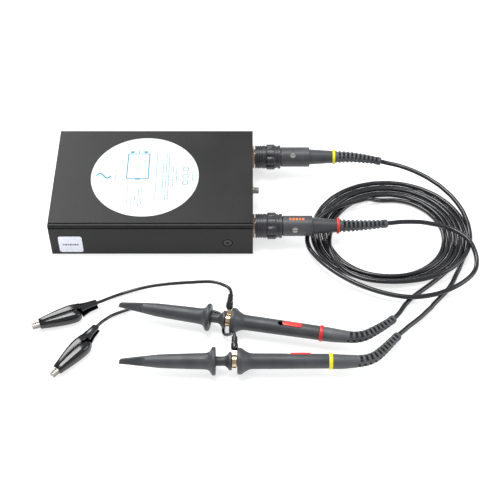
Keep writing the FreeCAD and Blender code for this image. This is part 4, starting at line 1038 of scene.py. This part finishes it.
def jaw_shape(hand):
    """Half of the steel clip: folded channel with a toothed, fluted nose."""
    teeth = []
    for k in range(6):
        x = 20.6 - 1.2 * k
        teeth += [(x, 0.12), (x - 0.6, 0.62)]
    outer = [(-6, 3.6), (-3, 4.2), (5, 3.5), (13, 2.1), (18, 1.75), (20.4, 1.6), (21, 1.1)]
    back = [(12, 0.9), (4, 2.5), (-3, 3.4), (-6, 2.9)]
    outline = [(x, hand * y) for x, y in outer + teeth + back]
    rings = []
    for z, shrink in ((-1.7, 0.9), (-1.45, 1), (-0.5, 1), (-0.35, 0.86), (0.35, 0.86), (0.5, 1),
                      (1.45, 1), (1.7, 0.9)):
        rings.append([(x * (0.995 if shrink < 1 else 1), y * shrink, z) for x, y in outline])
    return loft(rings)


def build_clip(number):
    """Crocodile clip: the fixed half rides on the instrument, the other half opens."""
    mark, place = f"probe_{number}", clip_frame(number)
    shared = number == 1
    piece(f"{mark}_fixed_cover_look", cover_shape(-1), "instrument", "clip_cover_black", place,
          ["clip_fixed_covers"] if shared else (), sharp=50)
    piece(f"{mark}_fixed_jaw_look", jaw_shape(-1), "instrument", "clip_steel", place,
          ["clip_fixed_jaws"] if shared else (), sharp=20)
    piece(f"{mark}_moving_cover_look", cover_shape(1), f"jaw_{number}", "clip_cover_black", place,
          [f"{mark}_clip_moving_cover"], sharp=50)
    piece(f"{mark}_moving_jaw_look", jaw_shape(1), f"jaw_{number}", "clip_steel", place,
          [f"{mark}_clip_moving_jaw"], sharp=20)


# ---------------------------------------------------------------- stage

# Soft boxes: name, place in metres, side in metres, power in watts.
LIGHTS = (("overhead", (-0.1, 0.15, 1.1), 0.5, 9), ("behind", (-0.45, 0.75, 0.75), 0.5, 7),
          ("right", (1.0, -0.1, 0.6), 0.5, 3))
LIGHT_AIM = Vector((0.06, -0.04, 0))
CAMERA_PLACE = (0.05824, -0.48889, 0.53783)
CAMERA_TILT = 40.032    # degrees up from straight down
CAMERA_LENS = 84.3
CAMERA_SENSOR = 36


def build_stage():
    """Pale floor, soft boxes overhead, behind and at the right, and the camera."""
    bpy.ops.mesh.primitive_plane_add(size=6)
    floor = bpy.context.object
    floor.name = "floor"
    floor.location.z = -0.0002
    material, tree, shader, place = start_material("floor_paper")
    tree.links.new(blend_colours(tree, noise(tree, place, 3), (0.54, 0.54, 0.55),
                                 (0.56, 0.56, 0.56)), shader.inputs["Base Color"])
    shader.inputs["Roughness"].default_value = 0.9
    shader.inputs["Specular IOR Level"].default_value = 0.1
    shader.inputs["Emission Color"].default_value = (1, 1, 1, 1)
    shader.inputs["Emission Strength"].default_value = 0.66
    floor.data.materials.append(material)

    for name, spot, side, watts in LIGHTS:
        lamp = bpy.data.lights.new(name, "AREA")
        lamp.size = side
        lamp.energy = watts
        holder = bpy.data.objects.new(name, lamp)
        holder.location = spot
        holder.rotation_euler = (LIGHT_AIM - Vector(spot)).to_track_quat("-Z", "Y").to_euler()
        bpy.context.scene.collection.objects.link(holder)

    world = bpy.context.scene.world or bpy.data.worlds.new("studio")
    bpy.context.scene.world = world
    world.use_nodes = True
    sky = world.node_tree.nodes["Background"]
    sky.inputs["Color"].default_value = (0.95, 0.97, 1, 1)
    sky.inputs["Strength"].default_value = 0.55
    bpy.context.scene.view_settings.view_transform = "Standard"

    camera = bpy.data.objects.new("camera", bpy.data.cameras.new("camera"))
    camera.location = CAMERA_PLACE
    camera.rotation_euler = (math.radians(CAMERA_TILT), 0, 0)
    camera.data.lens = CAMERA_LENS
    camera.data.sensor_width = CAMERA_SENSOR
    bpy.context.scene.collection.objects.link(camera)
    bpy.context.scene.camera = camera


# ---------------------------------------------------------------- build

dress_cad_nodes()
build_label_print()
build_seal_print()
build_painted_gap_shades()
build_barrels()
for channel in CHANNELS:
    plug_end = plug_frame(channel).translation + Vector((PLUG_ROOT * MM, 0, 0))
    cable_line = centre_line(f"probe_{channel}_cable", CABLE_RADIUS, plug_end)
    build_plug(channel, cable_line)
    build_handle(channel, cable_line)
    build_spring(channel)
    build_cable(channel, cable_line)
    build_ground_lead(channel)
    build_clip(channel)
build_stage()
